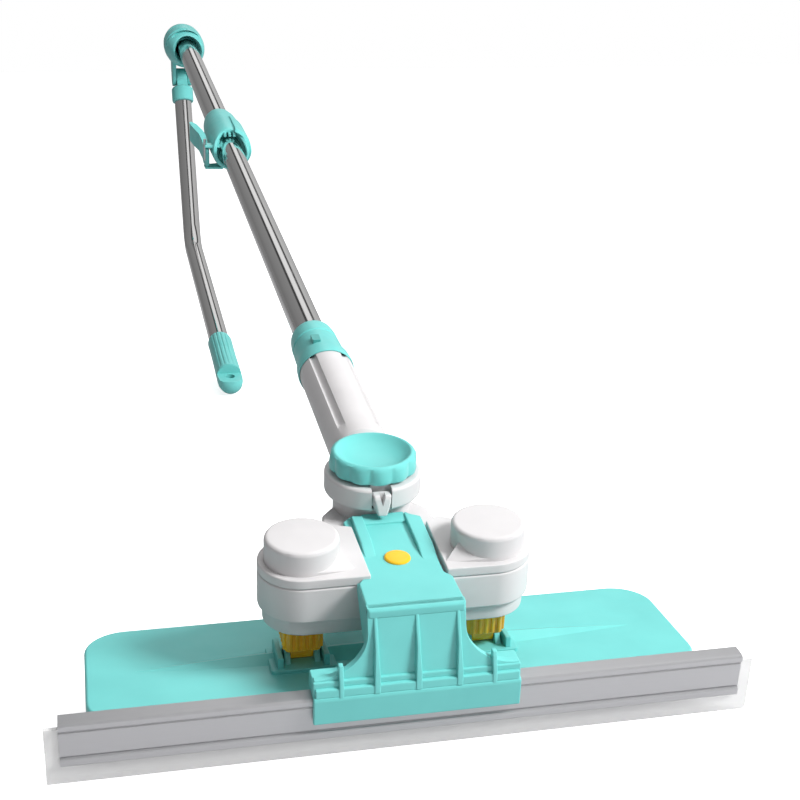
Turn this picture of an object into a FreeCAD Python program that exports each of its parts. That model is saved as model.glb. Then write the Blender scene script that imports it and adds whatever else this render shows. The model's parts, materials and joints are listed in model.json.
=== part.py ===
import FreeCAD, Part
import math
import operator
import os

import Sketcher

# Long-reach window mop: a swivelling head with a squeegee and a sprung mop plate, on a telescopic pole
# whose far end folds down into a U-shaped handle rod.  Millimetres.
# The tool frame has its origin under the middle of the squeegee, at the blade's edge: +X along the
# squeegee, +Y along the pole, +Z along the head's swivel axis.  At the end every piece is leaned so that
# the blade's edge and the grip stand on the floor, and moved so that the origin is the box's bottom centre.

doc = FreeCAD.newDocument("WindowMop")
Vector = FreeCAD.Vector
Rotation = FreeCAD.Rotation
Placement = FreeCAD.Placement

SIZES = [
    # squeegee
    ("blade_length", 364, "rubber blade, end to end"),
    ("blade_drop", 11.3, "how far the blade hangs below its channel"),
    ("blade_thick", 2.4, "blade where it leaves the channel"),
    ("blade_edge", 1.2, "blade at its wiping edge"),
    ("blade_bead", 4.4, "width of the bead that the channel holds"),
    ("soft_gap", 0.2, "clearance of the rubber in the channel"),
    ("channel_length", 350, "aluminium channel, end to end"),
    ("channel_height", 25, "channel, bottom to top"),
    ("channel_depth", 9, "channel, front to back"),
    ("channel_wall", 2.8, "channel above the blade's web"),
    ("channel_lip", 3, "lips under the bead"),
    ("bead_room", 5.4, "keyhole for the bead, bottom to top"),
    # bracket that carries the squeegee
    ("clamp_width", 106, "bar that grips the channel"),
    ("clamp_wall", 3, "walls of that bar"),
    ("clamp_low", 23, "lower edge of the bar above the blade's edge"),
    ("clamp_high", 46, "upper edge of the bar above the blade's edge"),
    ("apron_width", 50, "sloping part of the bracket"),
    ("apron_thick", 4, "sloping part, measured along Y"),
    ("apron_foot", 2, "foot of the sloping part behind the channel's front"),
    ("rib_thick", 2.6, "ribs of the apron"),
    ("rib_pitch", 21, "spacing of the long ribs"),
    ("saddle_front", 12, "front edge of the bracket's top plate"),
    ("saddle_back", 104, "back edge of the bracket's top plate"),
    ("saddle_thick", 3.2, "bracket's top plate"),
    ("saddle_tail", 42, "width of the top plate at the back"),
    ("flare_radius", 20, "hollow curve from the apron to the bar"),
    ("screw_spread", 38, "clamp screws either side of the middle"),
    ("screw_radius", 1.9, "clamp screw shank"),
    ("screw_rise", 6.5, "clamp screws above the bar's lower edge"),
    ("button_y", 55, "release button behind the blade's edge"),
    ("button_radius", 7, "release button"),
    ("button_travel", 3, "how far the button sinks"),
    # head body
    ("wing_x", 49.5, "dome and plunger axis either side of the middle"),
    ("wing_y", 60, "dome and plunger axis behind the blade's edge"),
    ("wing_radius", 23, "rounded wing round each dome"),
    ("step_inset", 2.5, "lower shell set in from the upper one"),
    ("lower_bottom", 47, "underside of the lower shell"),
    ("split_level", 56, "seam of the two shells"),
    ("deck_level", 76, "top of the upper shell"),
    ("shell_wall", 2.4, "wall of both shells"),
    ("cover_thick", 4.5, "flat part of a spring cover"),
    ("dome_radius", 19.5, "dome on a spring cover"),
    ("dome_top", 95, "top of the dome"),
    ("saddle_gap", 0.5, "side clearance between bracket and covers"),
    ("seat_gap", 0.3, "clearance between stacked pieces that can part"),
    # sprung plungers and mop plate
    ("plunger_side", 19, "square ribbed plunger"),
    ("plunger_gap", 0.5, "side clearance of the plunger in its guide"),
    ("plunger_bottom", 30, "underside of the plunger's block"),
    ("flange_side", 22.5, "stop flange of the plunger"),
    ("flange_thick", 3, "stop flange of the plunger"),
    ("stem_radius", 4, "spring guide on top of the plunger"),
    ("press_travel", 6, "how far the plungers sink into the body"),
    ("foot_level", 25.5, "foot pins above the blade's edge"),
    ("foot_pin_radius", 2, "foot pin"),
    ("pin_fit", 0.06, "running clearance on a pin's radius"),
    ("eye_radius", 4.5, "plunger eye and plate ears round the foot pin"),
    ("eye_width", 12, "plunger eye along the pin"),
    ("ear_thick", 3.2, "plate ears"),
    ("plate_length", 324, "mop plate, end to end"),
    ("plate_depth", 98, "mop plate, front to back"),
    ("plate_thick", 6, "mop plate"),
    ("plate_y", 64, "middle of the mop plate behind the blade's edge"),
    ("plate_drop", 6.4, "plate's top face below the foot pins"),
    ("plate_tilt", 7, "pitch of the plate against the body, degrees"),
    ("plate_corner", 22, "corner radius of the plate"),
    ("spine_length", 284, "raised lens-shaped spine on the plate"),
    ("spine_half", 11, "half width of the spine at its middle"),
    ("backing_thick", 3, "foam backing under the plate"),
    ("hook_thick", 1.2, "hook strips under the backing"),
    # swivel and knob
    ("hub_y", 122, "swivel axis behind the blade's edge"),
    ("hub_radius", 22, "boss that the swivel ring turns on"),
    ("hub_top", 84.2, "top of that boss"),
    ("washer_thick", 0.8, "slip washer under the ring"),
    ("swivel_radius", 27, "swivel ring"),
    ("swivel_thick", 12.6, "swivel ring, bottom to top"),
    ("bolt_radius", 4, "swivel bolt shank"),
    ("knob_radius", 24.7, "locking knob over its lobes"),
    ("knob_waist", 22.9, "locking knob between its lobes"),
    ("knob_lobes", 12, "lobes of the knob"),
    ("knob_height", 11.5, "locking knob"),
    ("dish_radius", 20.5, "hollow in the knob's top"),
    ("dish_depth", 5.5, "hollow in the knob's top"),
    ("latch_width", 10, "thumb latch in the swivel ring's front wall"),
    ("latch_gap", 0.5, "side clearance of the latch in its slot"),
    ("latch_depth", 3.5, "latch pin behind the ring's front"),
    ("latch_beak", 6.6, "beak's tip before and below the latch pin"),
    ("latch_bearing", 4, "latch pin in the ring either side of the latch"),
    ("latch_pin_radius", 1, "latch pin"),
    # pole
    ("pole_level", 91, "pole axis above the blade's edge"),
    ("sleeve_start", 149, "near end of the grey sleeve"),
    ("sleeve_end", 281, "far end of the grey sleeve"),
    ("sleeve_radius", 17.5, "grey sleeve"),
    ("sleeve_wall", 2.4, "grey sleeve between its lands"),
    ("sleeve_land", 14, "land that grips the tube, along the pole"),
    ("tube_wall", 0.9, "wall of the steel tubes"),
    ("lower_radius", 11, "lower tube"),
    ("lower_start", 168, "near end of the lower tube"),
    ("lower_end", 985, "far end of the lower tube"),
    ("tube_gap", 0.35, "radial gap between tube and what it slides in"),
    ("bush_length", 26, "guide bush on the lower tube's far end"),
    ("collar_start", 268, "near edge of the teal collar"),
    ("collar_end", 328, "far end of the teal collar"),
    ("collar_radius", 18.8, "collar skirt"),
    ("collar_neck", 16, "collar at its far end"),
    ("snap_y", 289, "snap button along the pole"),
    ("snap_side", 4.6, "snap button beside the pole's middle"),
    ("upper_radius", 12.5, "upper tube"),
    ("upper_start", 858, "near end of the upper tube"),
    ("upper_end", 1398, "far end of the upper tube"),
    ("clamp_start", 824, "near end of the pole clamp"),
    ("clamp_end", 948, "far end of the pole clamp"),
    ("clamp_radius", 18, "pole clamp"),
    ("lever_pivot", 14, "pivot of the clamp lever past the clamp's near end"),
    ("clamp_lug", 25, "pivot of the clamp lever beside the pole axis"),
    ("lever_length", 55, "clamp lever"),
    # elbow, handle rod and grip
    ("elbow_start", 1332, "near rim of the elbow"),
    ("elbow_end", 1420, "far end of the elbow"),
    ("elbow_radius", 23, "elbow hood"),
    ("fold_y", 1368, "fold axis along the pole"),
    ("fold_drop", 41, "fold axis below the pole axis"),
    ("rod_side", 7, "rod's plane beside the pole's"),
    ("link_half", 7, "half thickness of the folding link"),
    ("arm_thick", 5, "elbow arms either side of the link"),
    ("arm_gap", 0.35, "clearance of the link between the arms"),
    ("link_radius", 12, "link and arms round the fold pin"),
    ("link_neck", 2, "gap between the arms' ends and the link's socket"),
    ("fold_pin_radius", 3, "fold pin"),
    ("rod_radius", 11, "bent handle rod"),
    ("rod_wall", 1.2, "wall of the handle rod"),
    ("rod_bend", 45, "bend radius of the rod's middle line"),
    ("rod_drop", 236, "grip leg below the pole axis"),
    ("rod_corner_y", 1249, "corner of the rod's middle line along the pole"),
    ("rod_end_y", 829, "free end of the rod, inside the grip, along the pole"),
    ("socket_length", 20, "socket of the link on the rod"),
    ("grip_start", 814, "near end of the grip, at the cap's seam"),
    ("grip_end", 908, "far end of the grip"),
    ("grip_radius", 13.2, "grip"),
    ("cap_end", 787, "rounded end of the end cap"),
    ("cap_round", 6, "rounding of the end cap"),
    ("cap_spigot", 12, "end cap's spigot in the grip"),
    ("cap_flat", 4, "flat top of the end cap above its axis"),
    ("hang_y", 803, "hanging hole along the pole"),
    ("hang_radius", 5, "hanging hole"),
]


class Size:
    """A number and the spreadsheet formula it comes from, so that sums of sizes stay formulas."""

    def __init__(self, value, formula):
        self.value = value
        self.formula = formula

    def __add__(self, other):
        return joined(self, "+", other)

    def __radd__(self, other):
        return joined(other, "+", self)

    def __sub__(self, other):
        return joined(self, "-", other)

    def __rsub__(self, other):
        return joined(other, "-", self)

    def __mul__(self, other):
        return joined(self, "*", other)

    def __rmul__(self, other):
        return joined(other, "*", self)

    def __truediv__(self, other):
        return joined(self, "/", other)

    def __neg__(self):
        return joined(0, "-", self)


WORK = {"+": operator.add, "-": operator.sub, "*": operator.mul, "/": operator.truediv}


def size(number):
    if isinstance(number, Size):
        return number
    return Size(float(number), f"({float(number)!r})")


def joined(left, sign, right):
    left = size(left)
    right = size(right)
    return Size(WORK[sign](left.value, right.value), f"({left.formula} {sign} {right.formula})")


class Sheet:
    """The driving sizes by name."""


sheet = doc.addObject("Spreadsheet::Sheet", "Sizes")
s = Sheet()
for row, (name, number, meaning) in enumerate(SIZES, start=1):
    sheet.set(f"A{row}", name)
    sheet.set(f"B{row}", str(number))
    sheet.set(f"C{row}", meaning)
    sheet.setAlias(f"B{row}", name)
    setattr(s, name, Size(float(number), f"Sizes.{name}"))
doc.recompute()


# ---- how a piece is drawn -------------------------------------------------------------------------------
def bind(owner, slot, number):
    owner.setExpression(slot, size(number).formula)


def hold(sketch, line, end, x, y):
    for kind, number in (("DistanceX", x), ("DistanceY", y)):
        index = sketch.addConstraint(Sketcher.Constraint(kind, line, end, number.value))
        bind(sketch, f"Constraints[{index}]", number)


def loop(*points):
    """A closed outline with straight sides; each corner is held by its two coordinates."""
    corners = [(size(x), size(y)) for x, y in points]

    def draw(sketch):
        first = sketch.GeometryCount
        for (x0, y0), (x1, y1) in zip(corners, corners[1:] + corners[:1]):
            start = Vector(x0.value, y0.value, 0)
            sketch.addGeometry(Part.LineSegment(start, Vector(x1.value, y1.value, 0)))
        for i, (x, y) in enumerate(corners):
            before = first + (i - 1) % len(corners)
            sketch.addConstraint(Sketcher.Constraint("Coincident", before, 2, first + i, 1))
            hold(sketch, first + i, 1, x, y)

    return draw


def block(x0, x1, y0, y1):
    return loop((x0, y0), (x1, y0), (x1, y1), (x0, y1))


def ring(x, y, radius):
    """A circle held by its centre and radius."""
    x = size(x)
    y = size(y)
    radius = size(radius)

    def draw(sketch):
        circle = Part.Circle(Vector(x.value, y.value, 0), Vector(0, 0, 1), radius.value)
        line = sketch.addGeometry(circle)
        hold(sketch, line, 3, x, y)
        index = sketch.addConstraint(Sketcher.Constraint("Radius", line, radius.value))
        bind(sketch, f"Constraints[{index}]", radius)

    return draw


def new_body(name):
    made = doc.addObject("PartDesign::Body", name)
    made.Label = name
    return made


SIGN = {"XY_Plane": 1, "XZ_Plane": -1, "YZ_Plane": 1}


def sketch_on(body, role, at, shapes):
    """A sketch on one of the body's own planes; `at` is its place along +Z, +Y or +X."""
    sketch = body.newObject("Sketcher::SketchObject", body.Name + "_sketch")
    plane = next(o for o in body.Origin.OriginFeatures if o.Role == role)
    sketch.AttachmentSupport = [(plane, "")]
    sketch.MapMode = "FlatFace"
    bind(sketch, "AttachmentOffset.Base.z", size(at) * SIGN[role])
    for draw in shapes:
        draw(sketch)
    return sketch


def finish(body, feature, grew):
    """Recompute, and make sure that a cut removed material and an addition added some."""
    before = body.Shape.Volume if body.Shape and not body.Shape.isNull() else 0.0
    doc.recompute()
    change = body.Shape.Volume - before
    if grew is not None and (change > 0) is not grew:
        raise RuntimeError(f"{body.Label}: {feature.Name} changed the volume by {change:.1f}")
    return feature


def pad(body, role, at, length, *shapes, middle=False):
    feature = body.newObject("PartDesign::Pad", body.Name + "_pad")
    feature.Profile = sketch_on(body, role, at, shapes)
    bind(feature, "Length", length)
    if middle:
        feature.Midplane = True
    else:
        feature.Reversed = SIGN[role] < 0
    return finish(body, feature, True)


def cut(body, role, at, length, *shapes, middle=False):
    feature = body.newObject("PartDesign::Pocket", body.Name + "_cut")
    feature.Profile = sketch_on(body, role, at, shapes)
    bind(feature, "Length", length)
    if middle:
        feature.Midplane = True
    else:
        feature.Reversed = SIGN[role] > 0
    return finish(body, feature, False)


def turn(body, role, *shapes, upright=True, away=False):
    """Material, or with `away` a groove, turned about the sketch's upright or level axis."""
    kind = "PartDesign::Groove" if away else "PartDesign::Revolution"
    feature = body.newObject(kind, body.Name + "_turn")
    sketch = sketch_on(body, role, 0, shapes)
    feature.Profile = sketch
    feature.ReferenceAxis = (sketch, ["V_Axis" if upright else "H_Axis"])
    feature.Angle = 360
    return finish(body, feature, not away)


def repeat_round(body, feature, count):
    """The feature again and again, evenly round the body's Z axis."""
    pattern = body.newObject("PartDesign::PolarPattern", body.Name + "_round")
    pattern.Originals = [feature]
    pattern.Axis = (next(o for o in body.Origin.OriginFeatures if o.Role == "Z_Axis"), [""])
    pattern.Angle = 360
    bind(pattern, "Occurrences", count)
    body.Tip = pattern
    return finish(body, pattern, None)


def edges_of(body, wanted):
    return [f"Edge{i}" for i, edge in enumerate(body.Shape.Edges, start=1) if wanted(edge)]


def soften(body, radius, wanted, kind="PartDesign::Fillet"):
    """Round, or chamfer, the edges that `wanted` picks."""
    names = edges_of(body, wanted)
    if not names:
        raise RuntimeError(f"{body.Label}: no edge to soften")
    base = body.Tip
    feature = body.newObject(kind, body.Name + "_soft")
    feature.Base = (base, names)
    bind(feature, "Radius" if kind.endswith("Fillet") else "Size", radius)
    return finish(body, feature, None)


def straight(edge, axis):
    if not isinstance(edge.Curve, Part.Line):
        return False
    return abs(edge.tangentAt(edge.FirstParameter).dot(axis)) > 0.999


def round_edge(edge, radius, level):
    """A full or part circle of this radius whose centre has this Z."""
    if not isinstance(edge.Curve, Part.Circle):
        return False
    same_level = abs(edge.Curve.Center.z - size(level).value) < 0.01
    return same_level and abs(edge.Curve.Radius - size(radius).value) < 0.01


def coil(name, inside, wire, low, high, turns):
    """A closed-coil compression spring standing on Z, its ends at the two levels."""
    inside, wire, low, high = (size(n).value for n in (inside, wire, low, high))
    middle = inside + wire / 2
    height = high - low - wire
    path = Part.makeHelix(height / turns, height, middle)
    path.translate(Vector(0, 0, low + wire / 2))
    section = Part.Wire(Part.makeCircle(wire / 2, Vector(middle, 0, low + wire / 2), Vector(0, 1, 0)))
    made = doc.addObject("Part::Feature", name)
    made.Label = name
    made.Shape = Part.Wire(path.Edges).makePipeShell([section], True, True)
    return made


def solids(name, shapes):
    """Equal fasteners that share one node."""
    made = doc.addObject("Part::Feature", name)
    made.Label = name
    made.Shape = Part.makeCompound(shapes)
    return made


def drum(radius, height, base, direction):
    return Part.makeCylinder(size(radius).value, size(height).value, base, direction)


AXIS_X = Vector(1, 0, 0)
AXIS_Y = Vector(0, 1, 0)
AXIS_Z = Vector(0, 0, 1)
places = {}


def put(made, x=0, y=0, z=0, pitch=0):
    """Where the piece's own frame sits in the tool frame, with a pitch about X."""
    where = Vector(*(size(n).value for n in (x, y, z)))
    places[made] = Placement(where, Rotation(AXIS_X, size(pitch).value))
    return made


# ---- squeegee -------------------------------------------------------------------------------------------
# Extruded aluminium channel: a keyhole slot that holds the blade's bead, and a slit above it for its web.
blade_y = s.channel_depth * 0.39
slot_half = s.blade_thick / 2 + s.soft_gap
bead_half = s.blade_bead / 2 + s.soft_gap
bead_top = s.channel_lip + s.bead_room
slit_top = s.channel_height - s.channel_wall
channel = new_body("squeegee_channel")
pad(channel, "YZ_Plane", 0, s.channel_length,
    loop((0, 0), (blade_y - slot_half, 0), (blade_y - slot_half, s.channel_lip),
         (blade_y - bead_half, s.channel_lip), (blade_y - bead_half, bead_top),
         (blade_y - slot_half, bead_top), (blade_y - slot_half, slit_top),
         (blade_y + slot_half, slit_top), (blade_y + slot_half, bead_top),
         (blade_y + bead_half, bead_top), (blade_y + bead_half, s.channel_lip),
         (blade_y + slot_half, s.channel_lip), (blade_y + slot_half, 0), (s.channel_depth, 0),
         (s.channel_depth, s.channel_height), (0, s.channel_height),
         (0, s.channel_height - 5), (0.6, s.channel_height - 5.4), (0.6, s.channel_height - 6.4),
         (0, s.channel_height - 6.8), (0, 8), (0.6, 7.6), (0.6, 6.6), (0, 6.2)),
    middle=True)
put(channel, z=s.blade_drop)

# Soft blade: a bead in the channel's keyhole, a web above it and a tapered lip below it.
blade = new_body("squeegee_blade")
thick = s.blade_thick / 2
edge = s.blade_edge / 2
bead = s.blade_bead / 2
bead_low = s.channel_lip + s.soft_gap
bead_high = bead_top - s.soft_gap
pad(blade, "YZ_Plane", 0, s.blade_length,
    loop((blade_y - edge, -s.blade_drop), (blade_y + edge, -s.blade_drop),
         (blade_y + thick, -s.blade_drop / 2), (blade_y + thick, bead_low),
         (blade_y + bead, bead_low + 0.8), (blade_y + bead, bead_high - 0.8),
         (blade_y + thick, bead_high), (blade_y + thick, slit_top - s.soft_gap),
         (blade_y - thick, slit_top - s.soft_gap), (blade_y - thick, bead_high),
         (blade_y - bead, bead_high - 0.8), (blade_y - bead, bead_low + 0.8),
         (blade_y - thick, bead_low), (blade_y - thick, -s.blade_drop / 2)),
    middle=True)
put(blade, z=s.blade_drop)

# ---- squeegee bracket -----------------------------------------------------------------------------------
# One moulding: the bar that grips the channel, the ribbed apron, and the saddle over the body's deck.
saddle_low = s.deck_level + s.seat_gap
saddle_high = saddle_low + s.saddle_thick
bar_front = -s.clamp_wall - s.soft_gap
bar_back = s.channel_depth + s.soft_gap + s.clamp_wall
screw_level = s.clamp_low + s.screw_rise
bracket = new_body("squeegee_bracket")
pad(bracket, "YZ_Plane", 0, s.clamp_width,
    loop((bar_front, s.clamp_low), (-s.soft_gap, s.clamp_low),
         (-s.soft_gap, s.blade_drop + s.channel_height + s.soft_gap),
         (s.channel_depth + s.soft_gap, s.blade_drop + s.channel_height + s.soft_gap),
         (s.channel_depth + s.soft_gap, s.clamp_low), (bar_back, s.clamp_low),
         (bar_back, s.clamp_high), (s.apron_foot + s.apron_thick, s.clamp_high),
         (s.saddle_front + s.apron_thick, saddle_low), (s.saddle_front + s.apron_thick, saddle_high),
         (s.saddle_front, saddle_high), (s.apron_foot, s.clamp_high), (bar_front, s.clamp_high)),
    middle=True)
hollow = [(s.apron_width / 2 + s.flare_radius * (1 - math.sin(math.radians(a))),
           s.clamp_high + s.flare_radius * (1 - math.cos(math.radians(a)))) for a in range(90, -1, -10)]
for side in (-1, 1):
    cut(bracket, "XZ_Plane", bar_front - 1, s.saddle_front + s.apron_thick - bar_front + 5,
        loop(*[(side * x, z) for x, z in hollow], (side * s.clamp_width, s.clamp_high),
             (side * s.clamp_width, saddle_high + 2), (side * s.apron_width / 2, saddle_high + 2)))
pad(bracket, "XY_Plane", saddle_low, s.saddle_thick,
    loop((-s.apron_width / 2, s.saddle_front - 3), (s.apron_width / 2, s.saddle_front - 3),
         (s.apron_width / 2, s.saddle_front + 22), (s.saddle_tail / 2, s.saddle_front + 27),
         (s.saddle_tail / 2, s.saddle_back - 6), (s.saddle_tail / 2 - 6, s.saddle_back),
         (14, s.saddle_back), (12, s.saddle_back - 4), (-12, s.saddle_back - 4),
         (-14, s.saddle_back), (6 - s.saddle_tail / 2, s.saddle_back),
         (-s.saddle_tail / 2, s.saddle_back - 6), (-s.saddle_tail / 2, s.saddle_front + 27),
         (-s.apron_width / 2, s.saddle_front + 22)))
for place in (-1, 0, 1):
    pad(bracket, "YZ_Plane", place * s.rib_pitch - s.rib_thick / 2, s.rib_thick,
        loop((bar_front, s.clamp_high - 1), (s.apron_foot + 1, s.clamp_high - 1),
             (s.saddle_front + 1, saddle_low + 1), (s.saddle_front - 3, saddle_low + 1)))
for side in (-1, 1):
    pad(bracket, "YZ_Plane", side * 38 - s.rib_thick / 2, s.rib_thick,
        loop((bar_front, s.clamp_high - 1), (s.apron_foot + 1, s.clamp_high - 1),
             (s.apron_foot + 2.4, s.clamp_high + 7), (bar_front + 2.6, s.clamp_high + 7)))
for side in (-1, 1):
    pad(bracket, "XY_Plane", saddle_high - 0.5, 1.5,
        block(side * 11 - 1.2, side * 11 + 1.2, s.button_y + 13, s.saddle_back - 8))
cut(bracket, "XY_Plane", saddle_low - 1, s.saddle_thick + 3, ring(0, s.button_y, s.button_radius + 0.3))
cut(bracket, "XZ_Plane", s.channel_depth - 1, s.clamp_wall + 3,
    ring(-s.screw_spread, screw_level, s.screw_radius + 0.2),
    ring(s.screw_spread, screw_level, s.screw_radius + 0.2))
cut(bracket, "XZ_Plane", bar_back - 1.5, 3,
    ring(-s.screw_spread, screw_level, s.screw_radius + 1.9),
    ring(s.screw_spread, screw_level, s.screw_radius + 1.9))
put(bracket)

# The two pan-head screws press through the bar's back wall against the channel's back face.


def clamp_screw(side):
    at = Vector(side * s.screw_spread.value, 0, screw_level.value)
    tip = s.channel_depth + s.soft_gap / 4
    seat = bar_back - 1.5
    shank = drum(s.screw_radius, seat - tip, at + AXIS_Y * tip.value, AXIS_Y)
    head = drum(s.screw_radius + 1.6, 1.4, at + AXIS_Y * seat.value, AXIS_Y)
    slot = Part.makeBox(5, 1, 0.8, at + Vector(-2.5, seat.value + 0.9, -0.4))
    return shank.fuse(head).cut(slot).removeSplitter()


put(solids("clamp_screws", [clamp_screw(-1), clamp_screw(1)]))

# ---- release button -------------------------------------------------------------------------------------
# Turned amber button: its flange is kept under the saddle, a spring below pushes it up.
flange_top = s.deck_level - 0.5
button = new_body("release_button")
turn(button, "XZ_Plane",
     loop((0, flange_top - 3), (s.button_radius + 1.4, flange_top - 3),
          (s.button_radius + 1.4, flange_top), (s.button_radius, flange_top),
          (s.button_radius, saddle_high + 1.6), (0, saddle_high + 1.6)))
soften(button, 1.2, lambda e: round_edge(e, s.button_radius, saddle_high + 1.6))
put(button, y=s.button_y)
button_pit = flange_top - 3 - 6.5
put(coil("button_spring", 3, 0.8, button_pit + 0.1, flange_top - 3.1, 5), y=s.button_y)

# ---- head body ------------------------------------------------------------------------------------------


neck_half = s.hub_radius + 9
neck_back = s.hub_y - 12


def wing_part(body, low, thick_, inset, grow=pad):
    """The head's plan: two round wings, the block between them and the neck back to the hub."""
    for side in (-1, 1):
        grow(body, "XY_Plane", low, thick_, ring(side * s.wing_x, s.wing_y, s.wing_radius - inset))
    front = s.wing_y - s.wing_radius + inset
    grow(body, "XY_Plane", low, thick_,
         loop((-s.wing_x, front), (s.wing_x, front), (s.wing_x + 5, s.wing_y),
              (s.wing_x, s.wing_y + s.wing_radius - inset), (neck_half - inset, neck_back),
              (inset - neck_half, neck_back), (-s.wing_x, s.wing_y + s.wing_radius - inset),
              (-s.wing_x - 5, s.wing_y)))


guide = s.plunger_side / 2 + s.plunger_gap
flange_half = s.flange_side / 2
upper = new_body("body_upper_shell")
wing_part(upper, s.split_level, s.deck_level - s.split_level, 0)
pad(upper, "XY_Plane", s.split_level, s.hub_top - s.split_level, ring(0, s.hub_y, s.hub_radius))
roof = s.deck_level - s.shell_wall
front = s.wing_y - s.wing_radius + s.shell_wall
cut(upper, "XY_Plane", s.split_level - 1, roof - s.split_level + 1,
    loop((-30, front), (-12, front), (-12, s.hub_y - 32), (-26, s.hub_y - 32), (-33, s.wing_y + 16)),
    loop((30, front), (12, front), (12, s.hub_y - 32), (26, s.hub_y - 32), (33, s.wing_y + 16)))
for side in (-1, 1):
    x = side * s.wing_x
    cut(upper, "XY_Plane", s.split_level - 1, s.deck_level - s.split_level + 5,
        block(x - flange_half - 1, x + flange_half + 1,
              s.wing_y - flange_half - 1, s.wing_y + flange_half + 1))
cut(upper, "XY_Plane", button_pit, s.deck_level - button_pit + 5,
    ring(0, s.button_y, s.button_radius + 1.9))
cut(upper, "XY_Plane", s.split_level - 1, s.hub_top - s.shell_wall - s.split_level + 1,
    ring(0, s.hub_y, s.hub_radius - s.shell_wall), ring(0, s.hub_y, s.bolt_radius + s.shell_wall + 1))
cut(upper, "XY_Plane", s.split_level - 1, s.hub_top - s.split_level + 5,
    ring(0, s.hub_y, s.bolt_radius + s.pin_fit))
put(upper)

lower = new_body("body_lower_shell")
wing_part(lower, s.lower_bottom, s.split_level - s.lower_bottom, s.step_inset)
pad(lower, "XY_Plane", s.lower_bottom, s.split_level - s.lower_bottom,
    ring(0, s.hub_y, s.hub_radius - s.step_inset))
floor_top = s.lower_bottom + s.shell_wall
cut(lower, "XY_Plane", floor_top, s.split_level,
    loop((-30, front + s.step_inset), (30, front + s.step_inset), (33, s.wing_y + 16),
         (22, s.hub_y - 32), (-22, s.hub_y - 32), (-33, s.wing_y + 16)))
for side in (-1, 1):
    x = side * s.wing_x
    cut(lower, "XY_Plane", s.lower_bottom - 1, s.split_level,
        block(x - guide, x + guide, s.wing_y - guide, s.wing_y + guide))
cut(lower, "XY_Plane", s.lower_bottom - 1, s.split_level,
    ring(0, s.hub_y, s.bolt_radius + s.pin_fit))
cut(lower, "XY_Plane", s.lower_bottom - 1, 7, ring(0, s.hub_y, 9))
front_seats = [(side * 7, s.wing_y - s.wing_radius + 8) for side in (-1, 1)]
seats = front_seats + [(side * 18, s.hub_y - s.hub_radius - 5) for side in (-1, 1)]
for x, y in front_seats:
    pad(lower, "XY_Plane", s.lower_bottom, s.split_level - s.lower_bottom, ring(x, y, 4.2))
put(lower)

# Four self-tapping screws from below hold the shells together.


def body_screw(x, y):
    base = Vector(x, y.value, s.lower_bottom.value)
    head = Part.makeCylinder(3.2, 2, base + Vector(0, 0, 0.4), AXIS_Z)
    shank = Part.makeCylinder(1.5, 14, base + Vector(0, 0, 2.4), AXIS_Z)
    cross = Part.makeBox(4, 0.8, 1, base + Vector(-2, -0.4, 0.4))
    return head.fuse(shank).cut(cross).removeSplitter()


for shell in (lower, upper):
    low = s.lower_bottom - 1 if shell is lower else s.split_level - 1
    depth = s.split_level if shell is lower else 9.6
    cut(shell, "XY_Plane", low, depth, *[ring(x, y, 1.55) for x, y in seats])
cut(lower, "XY_Plane", s.lower_bottom - 1, 3.4, *[ring(x, y, 3.4) for x, y in seats])
put(solids("body_screws", [body_screw(x, y) for x, y in seats]))

# ---- spring covers --------------------------------------------------------------------------------------
# Each cover closes one wing; its dome houses the plunger's spring.
saddle_edge = s.saddle_tail / 2 + s.saddle_gap
for side, name in ((-1, "left_spring_cover"), (1, "right_spring_cover")):
    cover = new_body(name)
    wing = side * s.wing_x
    pad(cover, "XY_Plane", s.deck_level, s.cover_thick, ring(wing, s.wing_y, s.wing_radius))
    pad(cover, "XY_Plane", s.deck_level, s.cover_thick,
        loop((side * saddle_edge, s.wing_y - 9), (side * (saddle_edge + 7), s.wing_y - s.wing_radius),
             (wing, s.wing_y - s.wing_radius), (wing, s.wing_y + s.wing_radius),
             (side * (s.saddle_tail / 2 + 9), s.wing_y + 33), (side * saddle_edge, s.wing_y + 36)))
    pad(cover, "XY_Plane", s.deck_level, s.dome_top - s.deck_level, ring(wing, s.wing_y, s.dome_radius))
    soften(cover, 3.2, lambda e: round_edge(e, s.dome_radius, s.dome_top))
    cut(cover, "XY_Plane", s.deck_level - 1, s.dome_top - s.deck_level - s.shell_wall + 1,
        ring(wing, s.wing_y, s.dome_radius - s.shell_wall))
    put(cover)

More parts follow.
